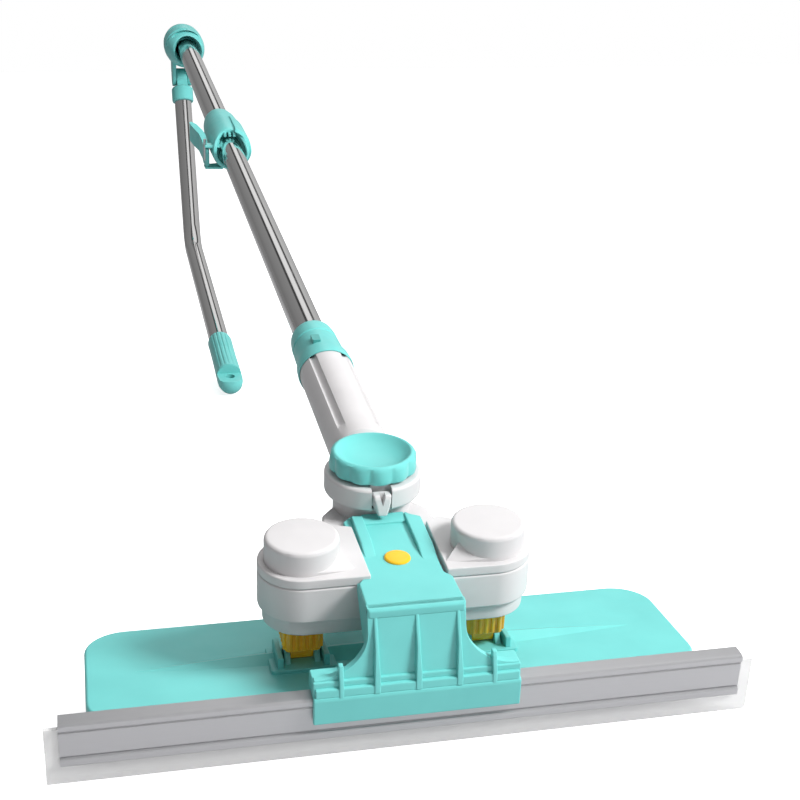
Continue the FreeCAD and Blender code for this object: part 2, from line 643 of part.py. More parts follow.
# ---- plungers, springs and foot pins --------------------------------------------------------------------
# A square ribbed block slides in the lower shell, its flange stops on the shell's rim, its eye carries
# the mop plate, and its stem centres the spring that reaches up into the dome.
flange_low = s.split_level + s.seat_gap
spring_low = flange_low + s.flange_thick
dome_roof = s.dome_top - s.shell_wall
for side, word in ((-1, "left"), (1, "right")):
    plunger = new_body(f"{word}_plunger")
    half = s.plunger_side / 2
    notch = half - 1
    pad(plunger, "XY_Plane", s.plunger_bottom, flange_low - s.plunger_bottom, block(-half, half, -half, half))
    for step in (-1, 0, 1):
        low = step * s.plunger_side * 0.27 - 1.1
        high = step * s.plunger_side * 0.27 + 1.1
        cut(plunger, "XY_Plane", s.plunger_bottom + 3, flange_low - s.plunger_bottom,
            block(low, high, notch, half + 1), block(low, high, -half - 1, -notch),
            block(notch, half + 1, low, high), block(-half - 1, -notch, low, high))
    pad(plunger, "XY_Plane", flange_low, s.flange_thick,
        block(-flange_half, flange_half, -flange_half, flange_half))
    pad(plunger, "XY_Plane", spring_low, dome_roof - spring_low - s.press_travel - 2,
        ring(0, 0, s.stem_radius))
    pad(plunger, "YZ_Plane", -s.eye_width / 2, s.eye_width,
        loop((-s.eye_radius, s.plunger_bottom + 1), (-s.eye_radius, s.foot_level),
             (-s.eye_radius * 0.7, s.foot_level - s.eye_radius * 0.7), (0, s.foot_level - s.eye_radius),
             (s.eye_radius * 0.7, s.foot_level - s.eye_radius * 0.7), (s.eye_radius, s.foot_level),
             (s.eye_radius, s.plunger_bottom + 1)))
    cut(plunger, "YZ_Plane", -s.eye_width, s.eye_width * 2,
        ring(0, s.foot_level, s.foot_pin_radius + s.pin_fit))
    put(plunger, x=side * s.wing_x, y=s.wing_y)
    put(coil(f"{word}_suspension_spring", s.stem_radius + 1.2, 1.6, spring_low + 0.1,
             dome_roof - 0.1, 6), x=side * s.wing_x, y=s.wing_y)

# ---- mop plate ------------------------------------------------------------------------------------------
# Its own frame sits on the foot pins' axis, pitched; the top face is plate_drop below.
plate_mid = s.plate_y - s.wing_y
half_length = s.plate_length / 2
ear_inside = s.eye_width / 2 + s.seat_gap
ear_outside = ear_inside + s.ear_thick
plate = new_body("mop_plate")
pad(plate, "XY_Plane", -s.plate_drop - s.plate_thick, s.plate_thick,
    block(-half_length, half_length, plate_mid - s.plate_depth / 2, plate_mid + s.plate_depth / 2))
soften(plate, s.plate_corner, lambda e: straight(e, AXIS_Z))
soften(plate, 1.6, lambda e: abs(e.CenterOfMass.z + s.plate_drop.value) < 0.01)
half_spine = s.spine_length / 2
pad(plate, "XY_Plane", -s.plate_drop - 1, 2.6,
    loop((-half_spine, plate_mid), (-half_spine * 0.62, plate_mid - s.spine_half * 0.62),
         (-half_spine * 0.25, plate_mid - s.spine_half), (half_spine * 0.25, plate_mid - s.spine_half),
         (half_spine * 0.62, plate_mid - s.spine_half * 0.62), (half_spine, plate_mid),
         (half_spine * 0.62, plate_mid + s.spine_half * 0.62),
         (half_spine * 0.25, plate_mid + s.spine_half), (-half_spine * 0.25, plate_mid + s.spine_half),
         (-half_spine * 0.62, plate_mid + s.spine_half * 0.62)))
for side in (-1, 1):
    x = side * s.wing_x
    pad(plate, "XY_Plane", -s.plate_drop - 1, 2.4,
        block(x - ear_outside - 7, x + ear_outside + 7, -13, 13))
    for ear in (-1, 1):
        low = x + ear * (ear_inside + s.ear_thick / 2) - s.ear_thick / 2
        pad(plate, "YZ_Plane", low, s.ear_thick,
            loop((-9, -s.plate_drop - 1), (9, -s.plate_drop - 1), (s.eye_radius, 1), (2.6, 3.6),
                 (-2.6, 3.6), (-s.eye_radius, 1)))
cut(plate, "YZ_Plane", 0, s.wing_x * 2 + ear_outside * 4, ring(0, 0, s.foot_pin_radius + s.pin_fit / 4),
    middle=True)
put(plate, y=s.wing_y, z=s.foot_level, pitch=-s.plate_tilt)

pins = []
for side in (-1, 1):
    start = Vector(side * s.wing_x.value - ear_outside.value, 0, 0)
    pins.append(drum(s.foot_pin_radius, ear_outside * 2, start, AXIS_X))
put(solids("foot_pins", pins), y=s.wing_y, z=s.foot_level, pitch=-s.plate_tilt)

backing = new_body("foam_backing")
margin = 1
backing_top = -s.plate_drop - s.plate_thick - 0.05
pad(backing, "XY_Plane", backing_top - s.backing_thick, s.backing_thick,
    block(margin - half_length, half_length - margin, plate_mid - s.plate_depth / 2 + margin,
          plate_mid + s.plate_depth / 2 - margin))
soften(backing, s.plate_corner - margin, lambda e: straight(e, AXIS_Z))
put(backing, y=s.wing_y, z=s.foot_level, pitch=-s.plate_tilt)

strips = []
for place in (-1, 1):
    corner = Vector(-half_length.value + 26, (plate_mid + place * s.plate_depth * 0.28 - 11).value,
                    (backing_top - s.backing_thick - s.hook_thick - 0.05).value)
    strips.append(Part.makeBox(s.plate_length.value - 52, 22, s.hook_thick.value, corner))
put(solids("hook_strips", strips), y=s.wing_y, z=s.foot_level, pitch=-s.plate_tilt)

# ---- swivel ring and sleeve -----------------------------------------------------------------------------
ring_low = s.hub_top + s.washer_thick + 0.1
ring_high = ring_low + s.swivel_thick
washer = new_body("slip_washer")
pad(washer, "XY_Plane", s.hub_top + 0.05, s.washer_thick,
    ring(0, 0, s.hub_radius - 1), ring(0, 0, s.bolt_radius + 0.4))
put(washer, y=s.hub_y)

reach = s.sleeve_start - s.hub_y
swivel = new_body("swivel_ring")
pad(swivel, "XY_Plane", ring_low, s.swivel_thick, ring(0, 0, s.swivel_radius))
soften(swivel, 1.6, lambda e: round_edge(e, s.swivel_radius, ring_high))
pad(swivel, "XY_Plane", ring_low, s.swivel_thick,
    block(-s.sleeve_radius + 1, s.sleeve_radius - 1, s.swivel_radius * 0.7, reach))
cut(swivel, "XY_Plane", ring_low - 1, s.swivel_thick + 2, ring(0, 0, s.bolt_radius + s.pin_fit))
pad(swivel, "XZ_Plane", reach - 1, s.lower_start - s.sleeve_start, ring(0, s.pole_level, s.lower_radius))
put(swivel, y=s.hub_y)

# Sleeve: slides over the ring's spigot, grips the lower tube with a land at each end, fluted on top.
sleeve = new_body("handle_sleeve")
land = s.lower_radius + 0.05
hollow_radius = s.sleeve_radius - s.sleeve_wall
turn(sleeve, "YZ_Plane",
     loop((s.sleeve_start + 0.1, land), (s.sleeve_start + 0.1, s.sleeve_radius - 1.5),
          (s.sleeve_start + 1.6, s.sleeve_radius), (s.sleeve_end, s.sleeve_radius),
          (s.sleeve_end, land), (s.sleeve_end - s.sleeve_land, land),
          (s.sleeve_end - s.sleeve_land - 3, hollow_radius),
          (s.sleeve_start + s.sleeve_land + 23, hollow_radius), (s.sleeve_start + s.sleeve_land + 20, land)),
     upright=False)
cut(sleeve, "XZ_Plane", s.sleeve_start + 18, s.sleeve_end,
    *[ring(math.sin(math.radians(a)) * (s.sleeve_radius + 1.8),
           math.cos(math.radians(a)) * (s.sleeve_radius + 1.8), 2.6) for a in (-38, 38)])
put(sleeve, z=s.pole_level)

# ---- knob, bolt and nut ---------------------------------------------------------------------------------
knob_low = ring_high + s.seat_gap
knob_high = knob_low + s.knob_height
knob = new_body("locking_knob")
turn(knob, "XZ_Plane",
     loop((0, 0), (s.knob_waist - 3, 0), (s.knob_waist, 1.5), (s.knob_waist, s.knob_height - 1),
          (s.knob_waist - 1.2, s.knob_height), (s.dish_radius, s.knob_height),
          (s.dish_radius - 4, s.knob_height - s.dish_depth * 0.7),
          (s.dish_radius - 10, s.knob_height - s.dish_depth), (0, s.knob_height - s.dish_depth)))
lobe = pad(knob, "XY_Plane", 1.2, s.knob_height - 2.2,
           ring(s.knob_radius - 4, 0, 4))
repeat_round(knob, lobe, s.knob_lobes)
nut_radius = 6.5
cut(knob, "XY_Plane", -1, s.knob_height - s.dish_depth - 1, ring(0, 0, nut_radius))
put(knob, y=s.hub_y, z=knob_low)

nut = new_body("knob_nut")
pad(nut, "XY_Plane", 0, s.knob_height - s.dish_depth - 2.2,
    loop(*[(math.cos(math.radians(a)) * (nut_radius - 0.05), math.sin(math.radians(a)) * (nut_radius - 0.05))
           for a in range(0, 360, 60)]),
    ring(0, 0, s.bolt_radius + s.pin_fit))
put(nut, y=s.hub_y, z=knob_low)

bolt = new_body("swivel_bolt")
pad(bolt, "XY_Plane", s.lower_bottom + 1.4, 4.4,
    loop(*[(math.cos(math.radians(a)) * 7.4, math.sin(math.radians(a)) * 7.4) for a in range(0, 360, 60)]))
pad(bolt, "XY_Plane", s.lower_bottom + 5.8, knob_high - s.dish_depth - 2.4 - s.lower_bottom - 5.8,
    ring(0, 0, s.bolt_radius))
put(bolt, y=s.hub_y)

# ---- thumb latch ----------------------------------------------------------------------------------------
# A beak that turns on a pin in a slot of the ring's front wall; its tip points down over the saddle.
latch_y = s.hub_y - s.swivel_radius + s.latch_depth
latch_level = ring_low + s.swivel_thick / 2 - 0.4
latch_half = s.latch_width / 2
latch_pin_half = latch_half + s.latch_bearing
latch = new_body("thumb_latch")
pad(latch, "YZ_Plane", 0, s.latch_width,
    loop((-s.latch_beak, -s.latch_beak), (1 - s.latch_beak, -s.latch_beak - 0.8), (-1.8, -3), (0.6, -3.2),
         (3, -1.2), (3, 1.6), (1.2, 4), (-1.6, 4.4), (-3.6, 4), (-4.6, 2.2)), middle=True)
cut(latch, "YZ_Plane", 0, s.latch_width * 2, ring(0, 0, s.latch_pin_radius + s.pin_fit), middle=True)
put(latch, y=latch_y, z=latch_level)
cut(swivel, "XY_Plane", ring_low - 1, s.swivel_thick + 2,
    block(-latch_half - s.latch_gap, latch_half + s.latch_gap, -s.swivel_radius - 1,
          s.latch_depth + 4 - s.swivel_radius))
cut(swivel, "YZ_Plane", 0, s.swivel_radius * 2,
    ring(s.latch_depth - s.swivel_radius, latch_level, s.latch_pin_radius + s.pin_fit / 4), middle=True)
put(solids("latch_pin", [drum(s.latch_pin_radius, latch_pin_half * 2, Vector(-latch_pin_half.value, 0, 0),
                              AXIS_X)]), y=latch_y, z=latch_level)

# ---- pole -----------------------------------------------------------------------------------------------
tube_bore = s.lower_radius - s.tube_wall
lower_tube = new_body("lower_tube")
pad(lower_tube, "XZ_Plane", s.lower_start, s.lower_end - s.lower_start,
    ring(0, 0, s.lower_radius), ring(0, 0, tube_bore))
put(lower_tube, z=s.pole_level)

upper_tube = new_body("upper_tube")
upper_bore = s.upper_radius - s.tube_wall
pad(upper_tube, "XZ_Plane", s.upper_start, s.upper_end - s.upper_start,
    ring(0, 0, s.upper_radius), ring(0, 0, upper_bore))
put(upper_tube, z=s.pole_level)

# Plastic bush on the lower tube's far end: it keeps the two tubes in line and closes the end.
bush = new_body("tube_bush")
turn(bush, "YZ_Plane",
     loop((s.lower_end - s.bush_length, 0), (s.lower_end + 3, 0), (s.lower_end + 3, upper_bore - 0.08),
          (s.lower_end + 0.05, upper_bore - 0.08), (s.lower_end + 0.05, tube_bore - 0.05),
          (s.lower_end - s.bush_length, tube_bore - 0.05)), upright=False)
put(bush, z=s.pole_level)

# Teal collar on the sleeve's end: a skirt over the sleeve, stepping down to the steel tube.
collar = new_body("sleeve_collar")
turn(collar, "YZ_Plane",
     loop((s.collar_start, s.sleeve_radius + 0.05), (s.collar_start, s.collar_radius),
          (s.collar_end - 22, s.collar_radius - 1), (s.collar_end - 20, s.collar_neck + 1.2),
          (s.collar_end - 14, s.collar_neck + 1.2), (s.collar_end - 13, s.collar_neck),
          (s.collar_end, s.collar_neck - 1), (s.collar_end, s.lower_radius + 0.05),
          (s.sleeve_end + 0.15, s.lower_radius + 0.05), (s.sleeve_end + 0.15, s.sleeve_radius + 0.05)),
     upright=False)
cut(collar, "XY_Plane", s.lower_radius - 1, s.collar_radius,
    block(-s.snap_side - 3.2, 3.2 - s.snap_side, s.snap_y - 5.2, s.snap_y + 5.2))
put(collar, z=s.pole_level)

# Snap button: pushed in, it frees the tube from the collar.
snap = new_body("snap_button")
snap_low = s.lower_radius + 2.4
pad(snap, "XY_Plane", snap_low, s.collar_radius - 1 - snap_low, block(-2.8, 2.8, -4.8, 4.8))
soften(snap, 0.8, lambda e: straight(e, AXIS_Z))
put(snap, x=-s.snap_side, y=s.snap_y, z=s.pole_level)

# ---- pole clamp -----------------------------------------------------------------------------------------
# Clamp body: holds the upper tube in its far half, the lower tube slides through its near half.
clamp = new_body("pole_clamp")
turn(clamp, "YZ_Plane",
     loop((s.clamp_start, s.clamp_radius - 3.4), (s.clamp_start + 3, s.clamp_radius + 1.6),
          (s.clamp_start + 34, s.clamp_radius + 1.6), (s.clamp_start + 52, s.clamp_radius + 2.6),
          (s.clamp_end - 26, s.clamp_radius - 0.4), (s.clamp_end, s.clamp_radius - 2.4),
          (s.clamp_end, s.upper_radius + 0.05), (s.clamp_end - 14, s.upper_radius + 0.05),
          (s.clamp_end - 18, s.clamp_radius - 2), (s.upper_start + 14, s.clamp_radius - 2),
          (s.upper_start + 10, s.upper_radius + 0.05), (s.upper_start - 0.1, s.upper_radius + 0.05),
          (s.upper_start - 0.1, s.lower_radius + s.tube_gap), (s.clamp_start + 12, s.lower_radius + s.tube_gap),
          (s.clamp_start, s.lower_radius + 2.6)), upright=False)
pivot_y = s.clamp_start + s.lever_pivot
for level in (-1, 1):
    pad(clamp, "XY_Plane", level * 8 - 2.5, 5,
        loop((-s.clamp_radius + 3, pivot_y - 8), (-s.clamp_lug - 4, pivot_y - 6),
             (-s.clamp_lug - 4, pivot_y + 6), (-s.clamp_radius + 3, pivot_y + 10)))
cut(clamp, "XY_Plane", 0, 40, ring(-s.clamp_lug, pivot_y, 1.5 + s.pin_fit / 4), middle=True)
put(clamp, z=s.pole_level)

lever = new_body("clamp_lever")
pad(lever, "XY_Plane", 0, 10.4,
    loop((-3.6, -4), (2.4, -4), (4.6, -1), (4.6, 4), (0, 14), (-2, s.lever_length * 0.6),
         (-8, s.lever_length), (-12, s.lever_length), (-9, s.lever_length * 0.5), (-4.4, 6)), middle=True)
pad(lever, "XY_Plane", 0, 17,
    loop((-2, 20), (-2, s.lever_length * 0.6), (-8, s.lever_length), (-12, s.lever_length),
         (-9, s.lever_length * 0.5), (-6.4, 20)), middle=True)
cut(lever, "XY_Plane", 0, 40, ring(0, 0, 1.5 + s.pin_fit), middle=True)
put(lever, x=-s.clamp_lug, y=pivot_y, z=s.pole_level)
put(solids("clamp_pin", [drum(1.5, 21, Vector(0, 0, -10.5), AXIS_Z)]),
    x=-s.clamp_lug, y=pivot_y, z=s.pole_level)

# ---- elbow ----------------------------------------------------------------------------------------------
# Hood over the upper tube's end, with two arms that carry the fold pin below and beside it.
elbow = new_body("elbow_hood")
turn(elbow, "YZ_Plane",
     loop((s.elbow_start, s.upper_radius + 0.05), (s.elbow_start, s.elbow_radius - 5),
          (s.elbow_start + 12, s.elbow_radius - 1), (s.elbow_start + 34, s.elbow_radius),
          (s.elbow_end - 24, s.elbow_radius - 1.4), (s.elbow_end - 10, s.elbow_radius - 8),
          (s.elbow_end - 2, s.elbow_radius - 17), (s.elbow_end, 0), (s.upper_end + 0.15, 0),
          (s.upper_end + 0.15, s.upper_radius + 0.05), (s.upper_end - 8, s.upper_radius + 0.05),
          (s.upper_end - 12, s.elbow_radius - 4), (s.elbow_start + 22, s.elbow_radius - 4),
          (s.elbow_start + 12, s.upper_radius + 0.05)), upright=False)
arm_inside = s.link_half + s.arm_gap
fold_level = -s.fold_drop
for side in (-1, 1):
    low = -s.rod_side + side * (arm_inside + s.arm_thick / 2) - s.arm_thick / 2
    pad(elbow, "YZ_Plane", low, s.arm_thick,
        loop((s.fold_y - 18, -14), (s.fold_y + 14, -14), (s.fold_y + s.link_radius, fold_level),
             (s.fold_y + s.link_radius * 0.7, fold_level - s.link_radius * 0.7),
             (s.fold_y, fold_level - s.link_radius),
             (s.fold_y - s.link_radius * 0.7, fold_level - s.link_radius * 0.7),
             (s.fold_y - s.link_radius, fold_level)))
cut(elbow, "YZ_Plane", -s.rod_side, 60, ring(s.fold_y, fold_level, s.fold_pin_radius + s.pin_fit / 4),
    middle=True)
put(elbow, z=s.pole_level)

pin_half = arm_inside + s.arm_thick
pin_start = Vector(-s.rod_side.value - pin_half.value, 0, 0)
put(solids("fold_pin", [drum(s.fold_pin_radius, pin_half * 2, pin_start, AXIS_X)]),
    y=s.fold_y, z=s.pole_level - s.fold_drop)

# ---- bent rod and folding link --------------------------------------------------------------------------
# The rod's own frame has its origin where the two legs' middle lines cross, the grip leg along -Y.
leg_rise = s.rod_drop - s.fold_drop
leg_run = s.fold_y - s.rod_corner_y
leg_length = math.hypot(leg_rise.value, leg_run.value)
leg_angle = math.degrees(math.atan2(leg_rise.value, leg_run.value))
leg_way = Vector(0, math.cos(math.radians(leg_angle)), math.sin(math.radians(leg_angle)))
tangent = s.rod_bend.value * math.tan(math.radians(leg_angle / 2))
corner_level = s.pole_level - s.rod_drop
link_reach = s.link_radius.value + s.link_neck.value


def bent_tube(radius):
    start = Vector(0, s.rod_end_y.value - s.rod_corner_y.value, 0)
    near = Vector(0, -tangent, 0)
    far = leg_way * tangent
    bisector = (near + far)
    bisector.normalize()
    centre_gap = s.rod_bend.value / math.cos(math.radians(leg_angle / 2))
    middle = bisector * (centre_gap - s.rod_bend.value)
    top = leg_way * (leg_length - link_reach)
    path = Part.Wire([Part.makeLine(start, near), Part.Arc(near, middle, far).toShape(),
                      Part.makeLine(far, top)])
    section = Part.Wire(Part.makeCircle(radius, start, AXIS_Y))
    return path.makePipeShell([section], True, False)


rod = doc.addObject("Part::Feature", "bent_rod")
rod.Label = "bent_rod"
rod.Shape = bent_tube(s.rod_radius.value).cut(bent_tube(s.rod_radius.value - s.rod_wall.value))
put(rod, x=-s.rod_side, y=s.rod_corner_y, z=corner_level)

# Link: an eye on the fold pin and a socket over the rod's end; its own Y runs up the leg.
link = new_body("folding_link")
pad(link, "YZ_Plane", 0, s.link_half * 2, ring(0, 0, s.link_radius), middle=True)
pad(link, "YZ_Plane", 0, s.link_half * 2,
    block(-link_reach - 6, 0, -s.link_radius + 2, s.link_radius - 2), middle=True)
pad(link, "XZ_Plane", -link_reach - s.socket_length, s.socket_length, ring(0, 0, s.rod_radius + 3))
cut(link, "XZ_Plane", -link_reach - s.socket_length - 1, s.socket_length + 1.05,
    ring(0, 0, s.rod_radius + 0.05))
cut(link, "YZ_Plane", 0, 60, ring(0, 0, s.fold_pin_radius + s.pin_fit), middle=True)
put(link, x=-s.rod_side, y=s.fold_y, z=s.pole_level - s.fold_drop, pitch=leg_angle)

# ---- grip -----------------------------------------------------------------------------------------------
grip_y = -s.rod_corner_y
grip = new_body("grip")
pad(grip, "XZ_Plane", s.grip_start + 0.05 + grip_y, s.grip_end - s.grip_start, ring(0, 0, s.grip_radius))
soften(grip, 1.2, lambda e: isinstance(e.Curve, Part.Circle) and e.CenterOfMass.y > s.grip_end.value
       + grip_y.value - 1)
cut(grip, "XZ_Plane", s.grip_start - 1 + grip_y, s.grip_end, ring(0, 0, s.rod_radius + 0.05))
cut(grip, "XZ_Plane", s.grip_start - 1 + grip_y, s.grip_end - s.grip_start - 12,
    *[block(x - 1.3, x + 1.3, s.grip_radius - 1.1, s.grip_radius + 1) for x in (-4.5, 4.5)])
put(grip, x=-s.rod_side, y=s.rod_corner_y, z=corner_level)

cap = new_body("grip_end_cap")
pad(cap, "XZ_Plane", s.cap_end + grip_y, s.grip_start - s.cap_end, ring(0, 0, s.grip_radius))
soften(cap, s.cap_round, lambda e: isinstance(e.Curve, Part.Circle) and e.CenterOfMass.y < s.cap_end.value
       + grip_y.value + 1)
cut(cap, "XY_Plane", s.cap_flat, s.grip_radius,
    block(-s.grip_radius - 1, s.grip_radius + 1, s.cap_end - 1 + grip_y, s.grip_start - 2 + grip_y))
pad(cap, "XZ_Plane", s.grip_start - 1 + grip_y, s.cap_spigot + 1, ring(0, 0, s.rod_radius))
cut(cap, "XZ_Plane", s.hang_y + s.hang_radius + 4 + grip_y, s.grip_end,
    ring(0, 0, s.rod_radius - s.shell_wall))
cut(cap, "XY_Plane", 0, 60, ring(0, s.hang_y + grip_y, s.hang_radius), middle=True)
put(cap, x=-s.rod_side, y=s.rod_corner_y, z=corner_level)

# ---- standing on the floor ------------------------------------------------------------------------------
# Lean: the blade's front edge and the end cap's rounded underside come to one level.
reach_y = (s.cap_end + s.cap_round - blade_y + edge).value
reach_z = (corner_level - s.grip_radius + s.cap_round).value
level_turn = math.asin(s.cap_round.value / math.hypot(reach_y, reach_z))
lean = math.degrees(level_turn - math.atan2(reach_z, reach_y))
doc.recompute()
upright = Placement(Vector(), Rotation(AXIS_X, lean))
for made, place in places.items():
    made.Placement = upright.multiply(place)
doc.recompute()
whole = FreeCAD.BoundBox()
for made in places:
    whole.add(made.Shape.optimalBoundingBox(False, False))
shift = Vector(-whole.Center.x, -whole.Center.y, -whole.ZMin)
for made, place in places.items():
    made.Placement = Placement(shift, Rotation()).multiply(upright).multiply(place)
doc.recompute()

# ---- checks and export ----------------------------------------------------------------------------------
for item in doc.Objects:
    if "Invalid" in item.State or "Error" in item.State:
        raise RuntimeError(f"{item.Label} did not compute: {item.State}")
for made in places:
    if made.Shape.isNull() or not made.Shape.isValid():
        raise RuntimeError(f"{made.Label} has no valid shape")
os.makedirs("parts", exist_ok=True)
for made in places:
    made.Shape.exportStep(f"parts/{made.Label}.step")
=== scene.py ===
"""Long-reach window mop, built round its CAD frame: squeegee and sprung mop plate on a swivelling head,
a telescopic pole, and a folding elbow with a bent rod and grip."""

import json
import math

import bmesh
import bpy
from mathutils import Euler, Matrix, Vector


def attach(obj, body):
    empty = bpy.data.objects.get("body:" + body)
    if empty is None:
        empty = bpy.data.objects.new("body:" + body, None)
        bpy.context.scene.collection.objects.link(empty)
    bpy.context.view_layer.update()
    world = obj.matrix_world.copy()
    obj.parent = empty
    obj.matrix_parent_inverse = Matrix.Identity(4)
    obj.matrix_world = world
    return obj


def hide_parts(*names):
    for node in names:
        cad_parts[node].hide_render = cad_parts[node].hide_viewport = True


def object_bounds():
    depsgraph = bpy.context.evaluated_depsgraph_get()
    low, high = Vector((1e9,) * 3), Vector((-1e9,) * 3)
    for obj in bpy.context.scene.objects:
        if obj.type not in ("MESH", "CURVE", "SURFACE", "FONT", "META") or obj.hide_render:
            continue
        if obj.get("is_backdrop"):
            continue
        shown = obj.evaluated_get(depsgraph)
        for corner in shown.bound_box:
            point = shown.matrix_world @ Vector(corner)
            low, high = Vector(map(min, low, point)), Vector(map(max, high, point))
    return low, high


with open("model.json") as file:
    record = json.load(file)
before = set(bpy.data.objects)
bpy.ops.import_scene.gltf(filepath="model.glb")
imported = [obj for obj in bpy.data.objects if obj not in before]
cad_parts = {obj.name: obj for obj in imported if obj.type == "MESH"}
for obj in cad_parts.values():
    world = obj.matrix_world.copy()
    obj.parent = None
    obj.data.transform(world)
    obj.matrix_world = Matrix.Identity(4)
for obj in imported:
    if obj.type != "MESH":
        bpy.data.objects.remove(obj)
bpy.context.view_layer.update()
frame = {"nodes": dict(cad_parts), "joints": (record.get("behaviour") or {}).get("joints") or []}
scene = bpy.context.scene
joints = {joint["name"]: joint for joint in frame["joints"]}

# ---- the tool's own axes --------------------------------------------------------------------------------
# Pieces are drawn in millimetres with x along the squeegee, y along the pole and z up the swivel bolt,
# from the middle of the squeegee at the blade's edge.  `tool` takes that into the leaning frame.
hub_y = 122
pole_level = 91
along_pole = Vector(joints["telescope"]["axis"])
up_bolt = Vector(joints["head_swivel"]["axis"])
blade_middle = Vector(joints["head_swivel"]["pos_m"]) - (along_pole * hub_y + up_bolt * pole_level) / 1000
along_blade = Vector((1, 0, 0))
tool_axes = Matrix((along_blade, along_pole, up_bolt)).transposed().to_4x4()
tool = Matrix.Translation(blade_middle) @ tool_axes @ Matrix.Scale(0.001, 4)
from_frame = tool.inverted()


def span(node):
    """Lowest and highest corner of a CAD node in the tool's axes."""
    points = [from_frame @ v.co for v in frame["nodes"][node].data.vertices]
    return Vector(map(min, zip(*points))), Vector(map(max, zip(*points)))


# ---- squeegee channel -----------------------------------------------------------------------------------
# Drawn aluminium: a flat band between two rounded lips, slotted from below for the blade.  Sawn to length
# and left satin, so the drawing lines run from end to end.
UPRIGHT = {
    "z": Matrix.Identity(3),
    "y": Matrix(((1, 0, 0), (0, 0, 1), (0, 1, 0))),
    "x": Matrix(((0, 0, 1), (1, 0, 0), (0, 1, 0))),
}


def drawn(outline, low, high, along="z"):
    """A solid with this outline: along z it is given in (x, y), along y in (x, z), along x in (y, z)."""
    bm = bmesh.new()
    base = bm.faces.new([bm.verts.new(UPRIGHT[along] @ Vector((u, v, low))) for u, v in outline])
    grown = bmesh.ops.extrude_face_region(bm, geom=[base])["geom"]
    far = [g for g in grown if isinstance(g, bmesh.types.BMVert)]
    bmesh.ops.translate(bm, verts=far, vec=UPRIGHT[along] @ Vector((0, 0, high - low)))
    bmesh.ops.recalc_face_normals(bm, faces=bm.faces)
    return bm


def soft(bm, width, segments=3, pick=None, sharper=0.5):
    """Round the edges that turn by more than `sharper` radians, or those of them that `pick` takes."""
    edges = [e for e in bm.edges if e.is_manifold and e.calc_face_angle(0) > sharper]
    if pick:
        edges = [e for e in edges if pick(e)]
    bmesh.ops.bevel(bm, geom=edges, offset=width, segments=segments, profile=0.5, affect="EDGES",
                    clamp_overlap=True, material=-1)
    return bm


def runs(axis):
    """Picks the edges that run along one axis."""
    index = "xyz".index(axis)
    return lambda e: abs((e.verts[1].co - e.verts[0].co).normalized()[index]) > 0.99


def joined(*parts):
    """One mesh from several finished solids."""
    bm = bmesh.new()
    for part in parts:
        mesh = bpy.data.meshes.new("part")
        part.to_mesh(mesh)
        part.free()
        bm.from_mesh(mesh)
        bpy.data.meshes.remove(mesh)
    return bm


def keep(bm, name, finish, body, *nodes, weighted=True):
    """Put the finished mesh in the frame, in its finish, on its body, in place of its CAD nodes."""
    bmesh.ops.recalc_face_normals(bm, faces=bm.faces)
    bmesh.ops.transform(bm, matrix=tool, verts=bm.verts)
    mesh = bpy.data.meshes.new(name)
    bm.to_mesh(mesh)
    bm.free()
    mesh.shade_smooth()
    mesh.set_sharp_from_angle(angle=math.radians(36))
    mesh.materials.append(finish.material)
    piece = bpy.data.objects.new(name, mesh)
    scene.collection.objects.link(piece)
    if weighted:
        piece.modifiers.new("flat faces stay flat", "WEIGHTED_NORMAL").keep_sharp = True
    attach(piece, body)
    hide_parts(*nodes)
    return piece


class Wire:
    """A value inside a material; sums of wires add Math nodes."""

    def __init__(self, tree, socket):
        self.tree = tree
        self.socket = socket

    def maths(self, operation, first, second=None):
        node = self.tree.nodes.new("ShaderNodeMath")
        node.operation = operation
        for place, value in zip(node.inputs, (first, second)):
            if isinstance(value, Wire):
                self.tree.links.new(value.socket, place)
            elif value is not None:
                place.default_value = value
        return Wire(self.tree, node.outputs[0])

    def __add__(self, other):
        return self.maths("ADD", self, other)

    __radd__ = __add__

    def __sub__(self, other):
        return self.maths("SUBTRACT", self, other)

    def __rsub__(self, other):
        return self.maths("SUBTRACT", other, self)

    def __mul__(self, other):
        return self.maths("MULTIPLY", self, other)

    __rmul__ = __mul__

    def __pow__(self, other):
        return self.maths("POWER", self, other)


